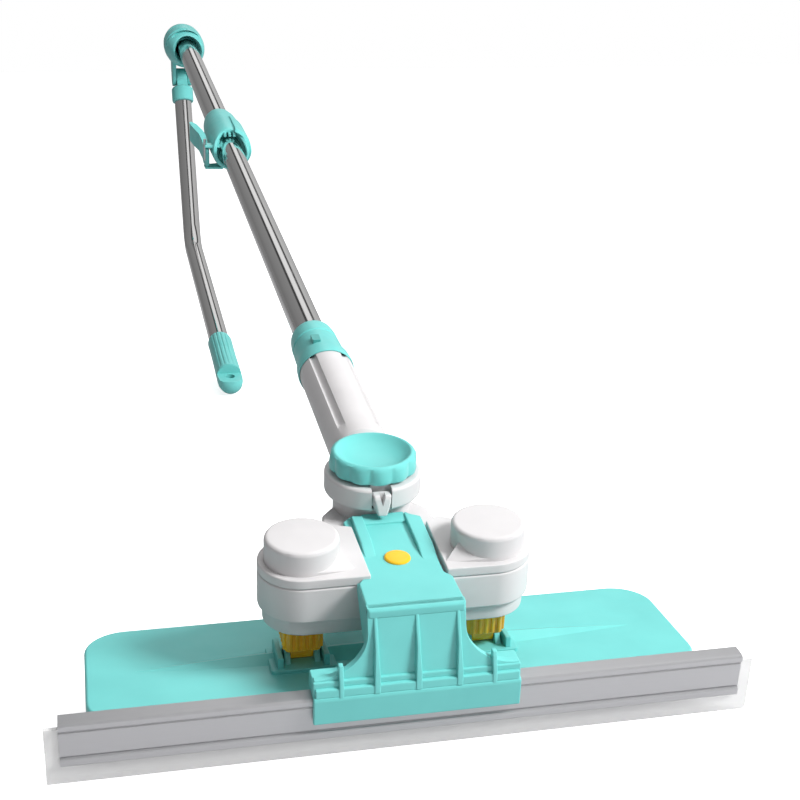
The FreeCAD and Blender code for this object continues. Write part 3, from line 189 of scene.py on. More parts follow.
class Finish:
    """A material in the making: its shader, and the nodes that feed it."""

    def __init__(self, name, colour, **constants):
        self.name = name
        self.material = bpy.data.materials.new(name)
        self.material.use_nodes = True
        self.material.diffuse_color = (*colour, 1)
        self.tree = self.material.node_tree
        self.shader = self.tree.nodes["Principled BSDF"]
        self.shader.inputs["Base Color"].default_value = (*colour, 1)
        for socket, value in constants.items():
            self.shader.inputs[socket.replace("_", " ")].default_value = value
        self.place = self.node("ShaderNodeTexCoord", out="Object")

    def node(self, kind, settings=None, out=0, **sockets):
        node = self.tree.nodes.new(kind)
        for name, value in (settings or {}).items():
            setattr(node, name, value)
        for name, value in sockets.items():
            self.plug(node.inputs[name.replace("_", " ")], value)
        return Wire(self.tree, node.outputs[out])

    def plug(self, place, value):
        if isinstance(value, Wire):
            self.tree.links.new(value.socket, place)
        else:
            place.default_value = value

    def noise(self, scale, detail=2, stretch=None, turn=None):
        """Noise with `scale` waves a metre, drawn out along an axis by a stretch below 1."""
        vector = self.place
        if stretch:
            vector = self.node("ShaderNodeMapping", Vector=vector, Scale=stretch, Rotation=turn or (0, 0, 0))
        return self.node("ShaderNodeTexNoise", Vector=vector, Scale=scale, Detail=detail)

    def between(self, share, dark, light):
        """A colour between two, by a value from 0 to 1."""
        node = self.tree.nodes.new("ShaderNodeMix")
        node.data_type = "RGBA"
        self.plug(node.inputs["Factor"], share)
        for place, colour in ((node.inputs[6], dark), (node.inputs[7], light)):
            self.plug(place, colour if isinstance(colour, Wire) else (*colour, 1))
        return Wire(self.tree, node.outputs[2])

    def span(self, value, low, high):
        """The value's 0.3 to 0.7 spread over low to high and held there."""
        node = self.tree.nodes.new("ShaderNodeMapRange")
        node.clamp = True
        for place, number in zip(node.inputs, (value, 0.3, 0.7, low, high)):
            self.plug(place, number)
        return Wire(self.tree, node.outputs[0])

    def grain(self, height, distance, strength=1.0):
        """Relief that is `distance` metres deep where the height goes from 0 to 1."""
        bump = self.node("ShaderNodeBump", Height=height, Distance=distance, Strength=strength)
        self.plug(self.shader.inputs["Normal"], bump)

    def feed(self, socket, value):
        self.plug(self.shader.inputs[socket], value)


LEAN = math.atan2(along_pole.z, along_pole.y)

aluminium = Finish("aluminium", (0.62, 0.62, 0.64), Metallic=0.8, Roughness=0.38)
lines = aluminium.noise(1600, 3, stretch=(0.004, 1, 1))
aluminium.feed("Roughness", aluminium.span(lines, 0.36, 0.46))
clouds = aluminium.noise(6, 2)
aluminium.feed("Base Color", aluminium.between(clouds, (0.56, 0.56, 0.575), (0.62, 0.62, 0.635)))
aluminium.grain(lines, 0.000004, 0.4)

low, high = span("squeegee_channel")
band = 1.0
slit_front = 2.05
slit_back = 4.95
slit_roof = high.z - 3
lower_lip = [(1.1, low.z), (0.1, low.z + 1.0), (0, low.z + 3.8), (0.5, low.z + 4.8),
             (band + 0.8, low.z + 5.2), (band, low.z + 6.0)]
upper_lip = [(band, high.z - 5.8), (band + 0.8, high.z - 5.0), (0.5, high.z - 4.4), (0, high.z - 3.6),
             (0, high.z - 1.2), (0.8, high.z - 0.2), (1.8, high.z)]
back = [(high.y, high.z), (high.y, low.z)]
slit = [(slit_back, low.z), (slit_back, slit_roof), (slit_front, slit_roof), (slit_front, low.z)]
channel = drawn(lower_lip + upper_lip + back + slit, low.x, high.x, "x")
keep(soft(channel, 0.25, 2, runs("x"), 0.35), "squeegee_channel_band", aluminium, "head", "squeegee_channel")

# ---- squeegee blade -------------------------------------------------------------------------------------
# Milky rubber, extruded and cut a little longer than the channel that grips it, thinning to its edge.
rubber = Finish("blade_rubber", (0.82, 0.82, 0.82), Roughness=0.42, Alpha=0.62, Specular_IOR_Level=0.35)
cloud = rubber.noise(35, 4, stretch=(0.4, 1, 1))
rubber.feed("Base Color", rubber.between(cloud, (0.76, 0.76, 0.77), (0.88, 0.88, 0.87)))
rubber.feed("Roughness", rubber.span(rubber.noise(260, 3), 0.36, 0.5))
rubber.grain(rubber.noise(500, 2, stretch=(0.02, 1, 1)), 0.00004, 0.4)

low, high = span("squeegee_blade")
middle = (low.y + high.y) / 2
edge_half = 0.6
flank_half = 1.2
root_half = 1.25
thick_from = low.z + 5
root = 32.5
blade = drawn([(middle - edge_half, low.z), (middle + edge_half, low.z), (middle + flank_half, thick_from),
               (middle + root_half, root), (middle - root_half, root), (middle - flank_half, thick_from)],
              low.x, high.x, "x")
keep(soft(blade, 0.3, 2, sharper=0.8), "wiping_blade", rubber, "head", "squeegee_blade")

# ---- squeegee bracket -----------------------------------------------------------------------------------
# One turquoise moulding: a bar that grips the channel, a ribbed apron that climbs from it, and a saddle
# that lies over the head with a recess between two shoulders.  Edges are rounded as they leave the mould.
def plastic(name, dark, light, rough, **constants):
    """Moulded plastic: even colour with slow clouds, a fine matt skin and faint handling marks."""
    finish = Finish(name, light, **constants)
    finish.feed("Base Color", finish.between(finish.span(finish.noise(26, 3), 0, 1), dark, light))
    marks = finish.noise(90, 5)
    finish.feed("Roughness", finish.span(marks, rough - 0.05, rough + 0.07))
    finish.grain(finish.noise(1500, 2) + 0.6 * finish.noise(240, 2), 0.00002, 0.5)
    return finish


teal = plastic("teal_plastic", (0.15, 0.55, 0.53), (0.17, 0.61, 0.585), 0.34, Specular_IOR_Level=0.45)

def mirrored(half):
    """A closed outline from its right-hand half."""
    return half + [(-x, place) for x, place in reversed(half)]


bar_end = span("squeegee_bracket")[1].x
bar_foot = 23
bar_top = 46
bar_front = -3.2
bar_back = 12.2
groove_front = -0.2
groove_back = 9.2
groove_roof = 36.6
bar = drawn([(bar_front, bar_foot), (bar_front, 37), (-2.4, 38.4), (-0.6, 38.8), (groove_front, bar_top),
             (bar_back, bar_top), (bar_back, bar_foot), (groove_back, bar_foot), (groove_back, groove_roof),
             (groove_front, groove_roof), (groove_front, bar_foot)], -bar_end, bar_end, "x")

deck = 79.5
saddle_half = 25
flare_reach = 27
flare_top = 67
flare_drop = 20.4
quarter = [step * math.pi / 28 for step in range(15)]
flare = [(saddle_half + flare_reach * (1 - math.cos(t)), flare_top - flare_drop * math.sin(t))
         for t in quarter]
half = [(bar_end - 0.6, 38), (bar_end - 0.6, 46.4), *reversed(flare), (saddle_half, deck)]
apron = drawn(mirrored(half), 0, 4, "y")
apron_foot = 44
apron_lean = 10.08 / (deck - apron_foot)
for vert in apron.verts:
    vert.co.y += max(0, vert.co.z - apron_foot) * apron_lean
soft(apron, 0.9)
saddle_side = [(saddle_half, 9), (24.5, 34), (21, 39), (21, 97), (14.5, 104), (12, 99.6)]
saddle = drawn(mirrored(saddle_side), 76.4, deck)
nose = drawn([(8.4, 73.6), (8.4, deck - 0.2), (15, deck - 0.2), (15, 75)], -saddle_half, saddle_half, "x")
ribs = []
for x in (-21, 0, 21):
    rib = drawn([(-3, 38), (-2.2, 47), (1.6, 60), (9.4, 77), (16, 77), (6, 38)], x - 1.6, x + 1.6, "x")
    for vert in rib.verts:
        vert.co.x = x + (vert.co.x - x) * (1.0 if vert.co.z < 60 else 0.6)
    ribs.append(soft(rib, 0.6))
for x in (-39, 39):
    ribs.append(soft(drawn([(-3, 36), (-2.6, 44), (0.8, 54), (4, 54), (5, 36)], x - 1.2, x + 1.2, "x"), 0.6))
shelf = drawn([(-2.6, 38), (-2.2, 42.6), (3, 43.4), (4, 38)], -bar_end + 1, bar_end - 1, "x")
skirt_outline = [(10, 78), (36.5, 78), (36.5, 74.6), (20, 58), (5.5, 50)]
skirts = [soft(drawn(skirt_outline, x - 1.1, x + 1.1, "x"), 0.6) for x in (-23.8, 23.8)]
shoulders = []
for inner, outer, start in ((-10.4, -16.6, 56), (12.6, 21, 50)):
    shoulder = drawn([(start, deck - 0.4), (start + 14, deck + 2.6), (97, deck + 3), (100, deck - 0.4)],
                     min(inner, outer), max(inner, outer), "x")
    for vert in shoulder.verts:
        if vert.co.y > 96 and abs(vert.co.x) > 20:
            vert.co.y -= 5
    shoulders.append(soft(shoulder, 0.8))
ledge = drawn([(90.5, deck - 1), (91, deck + 1.3), (99.4, deck + 2.4), (99.4, deck - 1)], -10.6, 12.8, "x")
bracket = joined(soft(bar, 1.0), apron, soft(saddle, 1.0), soft(nose, 1.6), *ribs, soft(shelf, 0.7), *skirts,
                 *shoulders, soft(ledge, 0.6))
keep(bracket, "bracket_moulding", teal, "head", "squeegee_bracket")

# ---- release button -------------------------------------------------------------------------------------
# Amber push button with a crowned top, standing a little proud of the saddle.
amber = plastic("amber_plastic", (0.86, 0.44, 0.012), (0.95, 0.55, 0.02), 0.3, Coat_Weight=0.2)


def turned(profile, steps=96, along="z"):
    """A body turned about its axis from (radius, place along the axis) points."""
    bm = bmesh.new()
    verts = [bm.verts.new((radius, 0, place)) for radius, place in profile]
    edges = [bm.edges.new(pair) for pair in zip(verts, verts[1:])]
    bmesh.ops.spin(bm, geom=verts + edges, cent=(0, 0, 0), axis=(0, 0, 1), angle=2 * math.pi, steps=steps,
                   use_merge=True)
    bmesh.ops.remove_doubles(bm, verts=bm.verts, dist=0.001)
    bmesh.ops.transform(bm, matrix=UPRIGHT[along].to_4x4(), verts=bm.verts)
    bmesh.ops.recalc_face_normals(bm, faces=bm.faces)
    return bm


def moved(bm, x=0, y=0, z=0):
    bmesh.ops.translate(bm, verts=bm.verts, vec=(x, y, z))
    return bm


low, high = span("release_button")
flange_radius = 8.4
flange_top = low.z + 3
stem_radius = 7
button = turned([(0, low.z), (flange_radius, low.z), (flange_radius, flange_top), (stem_radius, flange_top),
                 (stem_radius, high.z - 1), (6.2, high.z - 0.3), (3.5, high.z), (0, high.z)])
keep(moved(soft(button, 0.4), y=(low.y + high.y) / 2), "release_push", amber, "button", "release_button")

# ---- head shells ----------------------------------------------------------------------------------------
# Two warm-grey shells: the upper carries the wings and the hub, the lower is set in by a step.
grey = plastic("grey_plastic", (0.60, 0.585, 0.59), (0.66, 0.645, 0.65), 0.42, Specular_IOR_Level=0.4)
wing_x = 49.5
wing_y = 60
wing_radius = 23
hub_radius = 22
hub_top = 84.2
shell_foot = 47
seam = 56
roof = 76


def rectangle(left, front, right, back):
    """The corners of an upright rectangle."""
    return [(left, front), (right, front), (right, back), (left, back)]


def arc(x, y, radius, start, end, steps=24):
    """Points of an arc, by its start and end in degrees."""
    turns = [math.radians(start + (end - start) * i / steps) for i in range(steps + 1)]
    return [(x + radius * math.cos(t), y + radius * math.sin(t)) for t in turns]


def head_plan(inset):
    """The head seen from above: a round wing each side and a neck back to the hub."""
    radius = wing_radius - inset
    right = arc(wing_x, wing_y, radius, -90, 66)
    neck = [(31 - inset, 101), (30 - inset, 112)]
    hub = arc(0, hub_y, hub_radius - inset, 0, 180)
    half = right + neck
    return half + hub + [(-x, y) for x, y in reversed(half)]


upper = drawn(head_plan(0), seam, roof)
boss = moved(turned([(0, seam + 4), (hub_radius, seam + 4), (hub_radius, hub_top), (0, hub_top)]), y=hub_y)
keep(joined(soft(upper, 1.3), soft(boss, 0.8)), "upper_shell", grey, "head", "body_upper_shell")
lower = soft(drawn(head_plan(2.5), shell_foot, seam + 0.4), 1.2)
guide_half_x = 11.4
guide_half_y = 14
guides = []
for x in (-wing_x, wing_x):
    outline = rectangle(x - guide_half_x, wing_y - guide_half_y, x + guide_half_x, wing_y + guide_half_y)
    guide = drawn(outline, shell_foot - 2.4, shell_foot + 1)
    guides.append(soft(soft(guide, 5, 5, runs("z")), 0.8))
keep(joined(lower, *guides), "lower_shell", grey, "head", "body_lower_shell")

# ---- spring covers --------------------------------------------------------------------------------------
# A flat grey cover on each wing with a drum for the plunger's spring, and a fairing that runs out of the
# drum towards the bracket.
lid_foot = roof + 0.1
lid_top = 81.4
drum_radius = 19.5
fairing_foot = 80
for side, inner, name in ((-1, 17.4, "left_spring_cover"), (1, 22.4, "right_spring_cover")):
    edge = arc(wing_x, wing_y, wing_radius, -90, 90)
    plan = edge + [(30.5, wing_y + 33), (inner + 0.5, wing_y + 28), (inner, wing_y - wing_radius + 0.2)]
    flat = soft(drawn([(side * x, y) for x, y in plan], lid_foot, lid_top), 0.8)
    drum = turned([(0, 79), (drum_radius, 79), (drum_radius, 93.2), (18.6, 94.6), (17, 95), (0, 95.4)])
    drum = moved(soft(drum, 1.2, 4), side * wing_x, wing_y)
    ramp_plan = [(wing_x - 2, wing_y - 19.4), (wing_x - 18, wing_y - 8), (wing_x - 27, wing_y - 15.5)]
    fairing = drawn([(side * x, y) for x, y in ramp_plan], fairing_foot, fairing_foot + 3.5)
    for vert in fairing.verts:
        on_top = vert.co.z > fairing_foot + 1
        if on_top and abs(vert.co.x) < wing_x - 20:
            vert.co.z = fairing_foot + 0.6
        elif on_top and vert.co.y > wing_y - 10:
            vert.co.z = fairing_foot + 8
    keep(joined(flat, drum, soft(fairing, 0.4)), name + "_moulding", grey, "head", name)

# ---- plungers -------------------------------------------------------------------------------------------
# Ribbed blocks of clear amber plastic that slide in the head's guides and carry the mop plate.
# The plunger finish also has a faint amber emission, a painted glow that brightens the blocks.
honey = Finish("amber_plastic", (0.9, 0.52, 0.02), Roughness=0.22, Transmission_Weight=0.06, IOR=1.49,
               Coat_Weight=0.3, Emission_Color=(0.9, 0.46, 0.01, 1), Emission_Strength=0.05)
depth = honey.span(honey.noise(120, 3, stretch=(1, 1, 0.25)), 0, 1)
honey.feed("Base Color", honey.between(depth, (0.62, 0.29, 0.006), (0.92, 0.52, 0.02)))
honey.grain(honey.noise(700, 2), 0.00003, 0.4)
pin_level = 25.5
block_half = 9.5
block_foot = 30
rib_gap = 3.5
rib_out = block_half + 0.1
flange_half = 11.2
stem_radius = 4
for name in ("left_plunger", "right_plunger"):
    low, high = span(name)
    middle = (low + high) / 2
    block = drawn(rectangle(-block_half, -block_half, block_half, block_half), block_foot, block_foot + 30)
    soft(block, 2.6, 4, runs("z"))
    parts = [soft(block, 0.6)]
    for place in [step * rib_gap for step in range(-2, 3)]:
        for x, y in ((place, -rib_out), (place, rib_out), (-rib_out, place), (rib_out, place)):
            parts.append(moved(turned([(0, 31.5), (1.15, 31.5), (1.25, seam), (0, seam)], 16), x, y))
    stem = turned([(0, 58), (stem_radius, 58), (stem_radius, high.z - 0.6), (3.4, high.z), (0, high.z)], 32)
    flange = drawn(rectangle(-flange_half, -flange_half, flange_half, flange_half), seam + 0.4, seam + 3.2)
    eye = turned([(0, -6), (4.5, -6), (4.5, 6), (0, 6)], 32, "y")
    bmesh.ops.rotate(eye, cent=(0, 0, 0), matrix=Matrix.Rotation(math.pi / 2, 3, "Z"), verts=eye.verts)
    parts += [stem, soft(flange, 0.5), moved(soft(eye, 0.4), z=pin_level)]
    keep(moved(joined(*parts), middle.x, middle.y), name + "_block", honey, "plungers", name)

# ---- mop plate ------------------------------------------------------------------------------------------
# Thin turquoise plate with round corners, a lens-shaped spine and a walled seat for each plunger.
tilt = Matrix.Translation((0, wing_y, pin_level)) @ Matrix.Rotation(math.radians(-7), 4, "X")
plate_top = -6.4
plate_mid = 4
plate_half_x = 162
plate_half_y = 49
spine_half_x = 142
spine_half_y = 10.5


def tilted(bm):
    bmesh.ops.transform(bm, matrix=tilt, verts=bm.verts)
    return bm


plate = drawn(rectangle(-plate_half_x, plate_mid - plate_half_y, plate_half_x, plate_mid + plate_half_y),
              plate_top - 6, plate_top)
soft(plate, 22, 14, runs("z"))
soft(plate, 1.7, 4, lambda e: e.verts[0].co.z > plate_top - 1)
spine = bmesh.new()
crest = []
for step in range(-16, 17):
    share = 1 - (step / 16) ** 2
    x = spine_half_x * step / 16
    half = spine_half_y * share
    crest.append([spine.verts.new((x, plate_mid + side * half, plate_top - 0.3 + rise * share))
                  for side, rise in ((-1, 0), (0, 4.6), (1, 0))])
for before, after in zip(crest, crest[1:]):
    for i, j in ((0, 1), (1, 2), (2, 0)):
        spine.faces.new([before[i], before[j], after[j], after[i]])
bmesh.ops.remove_doubles(spine, verts=spine.verts, dist=0.01)
parts = [plate, spine]
ear_outline = [(-9, plate_top), (9, plate_top), (4.6, 1), (2.6, 3.6), (-2.6, 3.6), (-4.6, 1)]
wall_half = 1.6
for seat_x in (-wing_x, wing_x):
    tray = drawn(rectangle(seat_x - 17.5, -14, seat_x + 17.5, 14), plate_top - 1, plate_top + 1.9)
    parts.append(soft(soft(tray, 2, 4, runs("z")), 0.6))
    for side in (-1, 1):
        ear_x = seat_x + side * 7.9
        parts.append(soft(drawn(ear_outline, ear_x - wall_half, ear_x + wall_half, "x"), 0.5))
        wall_x = seat_x + side * 12.2
        wall = drawn(rectangle(wall_x - wall_half, -12, wall_x + wall_half, 12), plate_top, plate_top + 8)
        parts.append(soft(wall, 0.7))
keep(tilted(joined(*parts)), "plate_moulding", teal, "plate", "mop_plate")

# ---- foam backing ---------------------------------------------------------------------------------------
# Dark grey closed-cell foam glued under the plate, which evens out the pressure on the cloth.
foam = Finish("dark_foam", (0.06, 0.06, 0.065), Roughness=0.9, Specular_IOR_Level=0.2)
cells = foam.node("ShaderNodeTexVoronoi", Vector=foam.place, Scale=1400)
foam.feed("Base Color", foam.between(foam.noise(160, 3), (0.045, 0.045, 0.05), (0.09, 0.09, 0.095)))
foam.grain(cells, 0.0002, 0.6)
foam_half_x = plate_half_x - 1
foam_half_y = plate_half_y - 1
backing = drawn(rectangle(-foam_half_x, plate_mid - foam_half_y, foam_half_x, plate_mid + foam_half_y),
                plate_top - 9.05, plate_top - 6.05)
soft(backing, 21, 14, runs("z"))
keep(tilted(soft(backing, 0.8)), "backing_pad", foam, "plate", "foam_backing")

# ---- swivel ring ----------------------------------------------------------------------------------------
# Grey ring that turns on the hub and carries the pole's sleeve on a spigot.  Its front wall has a slot for
# the thumb latch.
def bored(bm, cutter):
    """Take one solid out of another."""
    made = []
    for part in (bm, cutter):
        mesh = bpy.data.meshes.new("bore")
        part.to_mesh(mesh)
        part.free()
        made.append(bpy.data.objects.new("bore", mesh))
        scene.collection.objects.link(made[-1])
    cut = made[0].modifiers.new("bore", "BOOLEAN")
    cut.object = made[1]
    cut.solver = "EXACT"
    result = bmesh.new()
    result.from_object(made[0], bpy.context.evaluated_depsgraph_get())
    for piece in made:
        bpy.data.objects.remove(piece)
    return result


ring_foot = 85.1
ring_top = 97.7
ring_radius = 27
bolt_hole = 4.1
arm_half = 16.5


def on_rim(edge):
    return all(abs(vert.co.xy.length - ring_radius) < 0.1 for vert in edge.verts)


slot = drawn(rectangle(-5.6, -28, 5.6, -19.6), ring_foot - 1.1, ring_top + 1.3)
ring = turned([(bolt_hole, ring_foot), (ring_radius, ring_foot), (ring_radius, ring_top),
               (bolt_hole, ring_top), (bolt_hole, ring_foot)], 128)
soft(ring, 1.8, 4, on_rim)
arm = drawn(rectangle(-arm_half, ring_foot, arm_half, ring_top), 14, 28, "y")
spigot = moved(turned([(0, 24), (11, 24), (11, 45), (0, 45)], 48, "y"), z=pole_level)
ring = bored(ring, slot)
keep(moved(joined(ring, soft(arm, 1.6), spigot), y=hub_y), "turning_ring", grey, "handle", "swivel_ring")

# ---- locking knob ---------------------------------------------------------------------------------------
# Turquoise knob with twelve shallow lobes and a deep dished top that the palm pushes into.
low, high = span("locking_knob")
lobes = 12
lobe_depth = 0.055
lobe_top = high.z - 0.6
flank = [(0, low.z), (22, low.z), (24.2, low.z + 1.4), (24.7, low.z + 4), (24.3, high.z - 3),
         (23.2, high.z - 1), (21.6, high.z)]
dish = [(20.4, high.z - 0.3), (18.6, high.z - 2.2), (15, high.z - 4.2), (10, high.z - 5.3),
        (5, high.z - 5.7), (0, high.z - 5.8)]
knob = turned(flank + dish, 192)
for vert in knob.verts:
    if vert.co.xy.length > 21 and vert.co.z < lobe_top:
        wave = 0.5 + 0.5 * math.cos(lobes * math.atan2(vert.co.y, vert.co.x))
        vert.co.xy *= 1 - lobe_depth * (1 - wave ** 0.5) * min(1, (lobe_top - vert.co.z) / 3)
keep(moved(soft(knob, 0.5, 2, sharper=0.8), y=hub_y), "dished_knob", teal, "knob", "locking_knob")

# ---- thumb latch ----------------------------------------------------------------------------------------
# Small grey moulded beak, hinged on a pin in the ring's front wall.  It is thin at its tip and has a notch
# down its face.
low, high = span("thumb_latch")
beak_half = 4.9
tip = [(low.y - 0.4, low.z + 0.4), (low.y + 1.6, low.z - 0.2), (low.y + 5, low.z + 5)]
heel = [(high.y - 2, low.z + 5.4), (high.y, low.z + 7.4), (high.y, high.z - 2), (high.y - 2, high.z)]
brow = [(low.y + 2.2, high.z), (low.y + 1, high.z - 1.6)]
beak = drawn(tip + heel + brow, -beak_half, beak_half, "x")
for vert in beak.verts:
    if vert.co.z < low.z + 2:
        vert.co.x *= 0.5
notch = drawn([(0, high.z - 6), (2.2, high.z + 2), (-2.2, high.z + 2)], low.y - 4, low.y + 5, "y")
keep(soft(bored(soft(beak, 1.1, 4), notch), 0.4), "latch_beak", grey, "latch", "thumb_latch")

# ---- handle sleeve --------------------------------------------------------------------------------------
# Grey sleeve pressed over the ring's spigot and the lower tube, with two flutes along its top.
low, high = span("handle_sleeve")
sleeve_radius = 17.5
tube_radius = 11
flute_half = 9
flute_depth = 0.10
nose_end = [(tube_radius, low.y), (15.6, low.y), (17.2, low.y + 1.6)]
barrel = [(sleeve_radius, y) for y in (low.y + 5, low.y + 14, low.y + 20, 250, high.y)]
sleeve = turned(nose_end + barrel + [(tube_radius, high.y), (tube_radius, low.y)], 160, "y")
for vert in sleeve.verts:
    if vert.co.xz.length > 15 and vert.co.y > low.y + 16:
        lean_over = math.degrees(math.atan2(vert.co.x, vert.co.z))
        for flute in (-36, 36):
            share = max(0, 1 - ((lean_over - flute) / flute_half) ** 2)
            vert.co.xz *= 1 - flute_depth * share ** 0.7
keep(moved(soft(sleeve, 0.8, 3, lambda e: abs(e.verts[0].co.y - e.verts[1].co.y) < 0.01, 0.9), z=pole_level),
     "fluted_sleeve", grey, "handle", "handle_sleeve")

# ---- sleeve collar and snap button ----------------------------------------------------------------------
# Turquoise collar over the sleeve's far end: a skirt cut at a slant, a groove, and a narrower ring band.
low, high = span("sleeve_collar")
seat_radius = sleeve_radius + 0.05
bore_radius = tube_radius + 0.1
seat_end = low.y + 14
skirt_cut = 5
skirt = [(seat_radius, low.y + 2), (17.8, low.y), (18.3, low.y + 0.6), (18.5, low.y + 5), (18.1, 281.5),
         (17.0, 285), (16.4, 296), (16.1, 308)]
groove = [(15.2, 309), (15.2, 310.6)]
ring_band = [(16.0, 311.6), (15.9, 320), (15.2, high.y - 1), (14.4, high.y)]
bore = [(bore_radius, high.y), (bore_radius, seat_end), (seat_radius, seat_end), (seat_radius, low.y + 2)]
collar = turned(skirt + groove + ring_band + bore, 128, "y")
for vert in collar.verts:
    if vert.co.y < low.y + 12 and vert.co.xz.length > 15:
        slant = max(0, vert.co.z / 18.9)
        vert.co.y += skirt_cut * (0.6 - slant) * (1 - max(0, vert.co.y - low.y - 2) / 10)
soft(collar, 0.5, 2, sharper=0.9)
keep(moved(collar, z=pole_level), "collar_skirt", teal, "handle", "sleeve_collar")

low, high = span("snap_button")
# The snap tab is given a darker copy of the teal plastic, which is painted shade and not a colour of its
# own.
teal_in_shade = plastic("teal_plastic", (0.07, 0.33, 0.31), (0.09, 0.38, 0.36), 0.4)
snap = drawn(rectangle(low.x, low.y, high.x, high.y), low.z, high.z + 0.7)
keep(soft(soft(snap, 0.9, 3, runs("z")), 0.5), "snap_tab", teal_in_shade, "snap", "snap_button")

# ---- steel tubes ----------------------------------------------------------------------------------------
# Bright stainless tube, rolled and polished along its length; the upper slides over the lower.
steel = Finish("bright_steel", (0.74, 0.73, 0.73), Metallic=1.0, Roughness=0.09)
scratches = steel.noise(2600, 2, stretch=(1, 0.01, 0.05), turn=(-LEAN, 0, 0))
steel.feed("Roughness", steel.span(steel.noise(40, 4), 0.06, 0.14))
steel.feed("Base Color", steel.between(steel.noise(9, 3), (0.70, 0.69, 0.69), (0.78, 0.775, 0.77)))
steel.grain(scratches, 0.000004, 0.5)
outer_radius = 12.5
for node, radius, end_round, body in (("lower_tube", tube_radius, 0.5, "handle"),
                                      ("upper_tube", outer_radius, 0.4, "outer_pole")):
    low, high = span(node)
    tube = turned([(0, low.y), (radius, low.y), (radius, high.y), (0, high.y)], 96, "y")
    keep(moved(soft(tube, end_round, 2), z=pole_level), node + "_steel", steel, body, node)

# ---- pole clamp -----------------------------------------------------------------------------------------
# Turquoise clamp that holds the upper tube and squeezes the lower one; its mouth is scooped at the top.
mouth = 824
mouth_depth = 14
scoop = 22
shoulder_y = 852
clamp_end = 948
slide_radius = tube_radius + 0.4
press_radius = outer_radius + 0.1
lip = [(slide_radius, mouth + 13), (13.8, mouth + 12), (14.6, mouth + 1), (15.6, mouth), (17.6, mouth + 1)]
flank = [(18.6, mouth + 6), (19.2, mouth + 30), (19.4, mouth + 60), (18.8, 912), (17.6, 932), (16, 944)]
tail = [(14.6, clamp_end), (press_radius, clamp_end)]
bore = [(press_radius, shoulder_y), (slide_radius, shoulder_y), (slide_radius, mouth + 13)]
clamp = turned(lip + flank + tail + bore, 128, "y")
for vert in clamp.verts:
    if vert.co.y < mouth + mouth_depth:
        upward = max(0, vert.co.z / max(vert.co.xz.length, 1))
        vert.co.y += scoop * upward ** 1.5 * (1 - max(0, vert.co.y - mouth) / mouth_depth * 0.35)
soft(clamp, 0.4, 2, sharper=0.9)


def sector(profile, start, end, steps=40, along="y"):
    """Part of a turned body, from one angle to another in degrees; 0 is +x and 90 is up."""
    bm = bmesh.new()
    face = bm.faces.new([bm.verts.new((radius, 0, place)) for radius, place in profile])
    bmesh.ops.rotate(bm, cent=(0, 0, 0), matrix=Matrix.Rotation(math.radians(start), 3, "Z"), verts=bm.verts)
    bmesh.ops.spin(bm, geom=[face] + list(face.edges) + list(face.verts), cent=(0, 0, 0), axis=(0, 0, 1),
                   angle=math.radians(end - start), steps=steps)
    bmesh.ops.transform(bm, matrix=UPRIGHT[along].to_4x4(), verts=bm.verts)
    bmesh.ops.remove_doubles(bm, verts=bm.verts, dist=0.001)
    bmesh.ops.recalc_face_normals(bm, faces=bm.faces)
    return bm


ridge_rows = [(17.5, 838), (20.6, 840), (21.2, 850), (20.8, 892), (20, 898), (17.5, 900)]
ridge = soft(sector(ridge_rows, -50, 74), 0.7)
for vert in ridge.verts:
    if vert.co.y < 852:
        vert.co.y -= 10 * max(0, vert.co.x / 21) ** 2 * (1 - max(0, vert.co.z) / 21)
teeth = []
for x in (-4.6, 0, 4.6):
    tooth = drawn([(x - 1.4, 840), (x + 1.4, 840), (x + 1.1, shoulder_y), (x - 1.1, shoulder_y)], 11.6, 15.5)
    teeth.append(soft(tooth, 0.5))
lug_outline = [(-8, mouth + 6), (-25.6, mouth + 8), (-26, mouth + 20), (-8, mouth + 24)]
lugs = [soft(drawn(lug_outline, z, z + 2.2), 0.7) for z in (2.9, -18.4)]
clamp = joined(clamp, ridge, *teeth, *lugs)
keep(moved(clamp, z=pole_level), "tube_clamp", teal, "outer_pole", "pole_clamp")

# ---- clamp lever ----------------------------------------------------------------------------------------
# Turquoise lever between the clamp's lugs, with a finger tab that bends away from the pole.
inner_side = [(-20.9, 835), (-21.6, 845), (-21.9, 862), (-24, 875), (-29, 885), (-34, 889.6)]
outer_side = [(-36.2, 888), (-32.6, 878), (-28.4, 868), (-26.6, 852), (-26.4, 842), (-24, 833.6)]
paddle = drawn(inner_side + outer_side, -9, 9)
soft(paddle, 2, 4, runs("z"))
soft(paddle, 1.4, 3)
for vert in paddle.verts:
    vert.co.z -= max(0, 862 - vert.co.y) * 0.28
    vert.co.z += max(0, vert.co.y - 870) * 0.35
keep(moved(paddle, z=pole_level), "squeeze_lever", teal, "lever", "clamp_lever")

# ---- elbow hood -----------------------------------------------------------------------------------------
# Turquoise hood over the pole's far end: a blunt rounded head with two gill slots, a scooped mouth, and
# two cheeks below it that hold the fold pin.
low, high = span("elbow_hood")
rim = low.y
crown = high.y
slots = ((rim + 22, rim + 25), (rim + 47, rim + 50))
slot_depth = 2.4
swell = 0.13
offset_x = 2.5
scoop = 12
mouth_rows = [(press_radius, rim + 60), (press_radius, rim + 16), (13.6, rim + 14), (16.4, rim + 2),
              (18.2, rim), (20.2, rim + 2), (21.8, rim + 10)]
slot_rows = [(22.6, rim + 18), (22.8, rim + 21), (22.8, rim + 22), (22.9, rim + 25), (22.9, rim + 26),
             (22.9, rim + 40), (22.8, rim + 46), (22.8, rim + 47), (22.7, rim + 50), (22.7, rim + 51)]
crown_rows = [(22.2, rim + 60), (20.8, rim + 70), (17.6, crown - 8), (12.6, crown - 3), (6.5, crown - 0.6),
              (0, crown)]
hood = turned(mouth_rows + slot_rows + crown_rows, 128, "y")
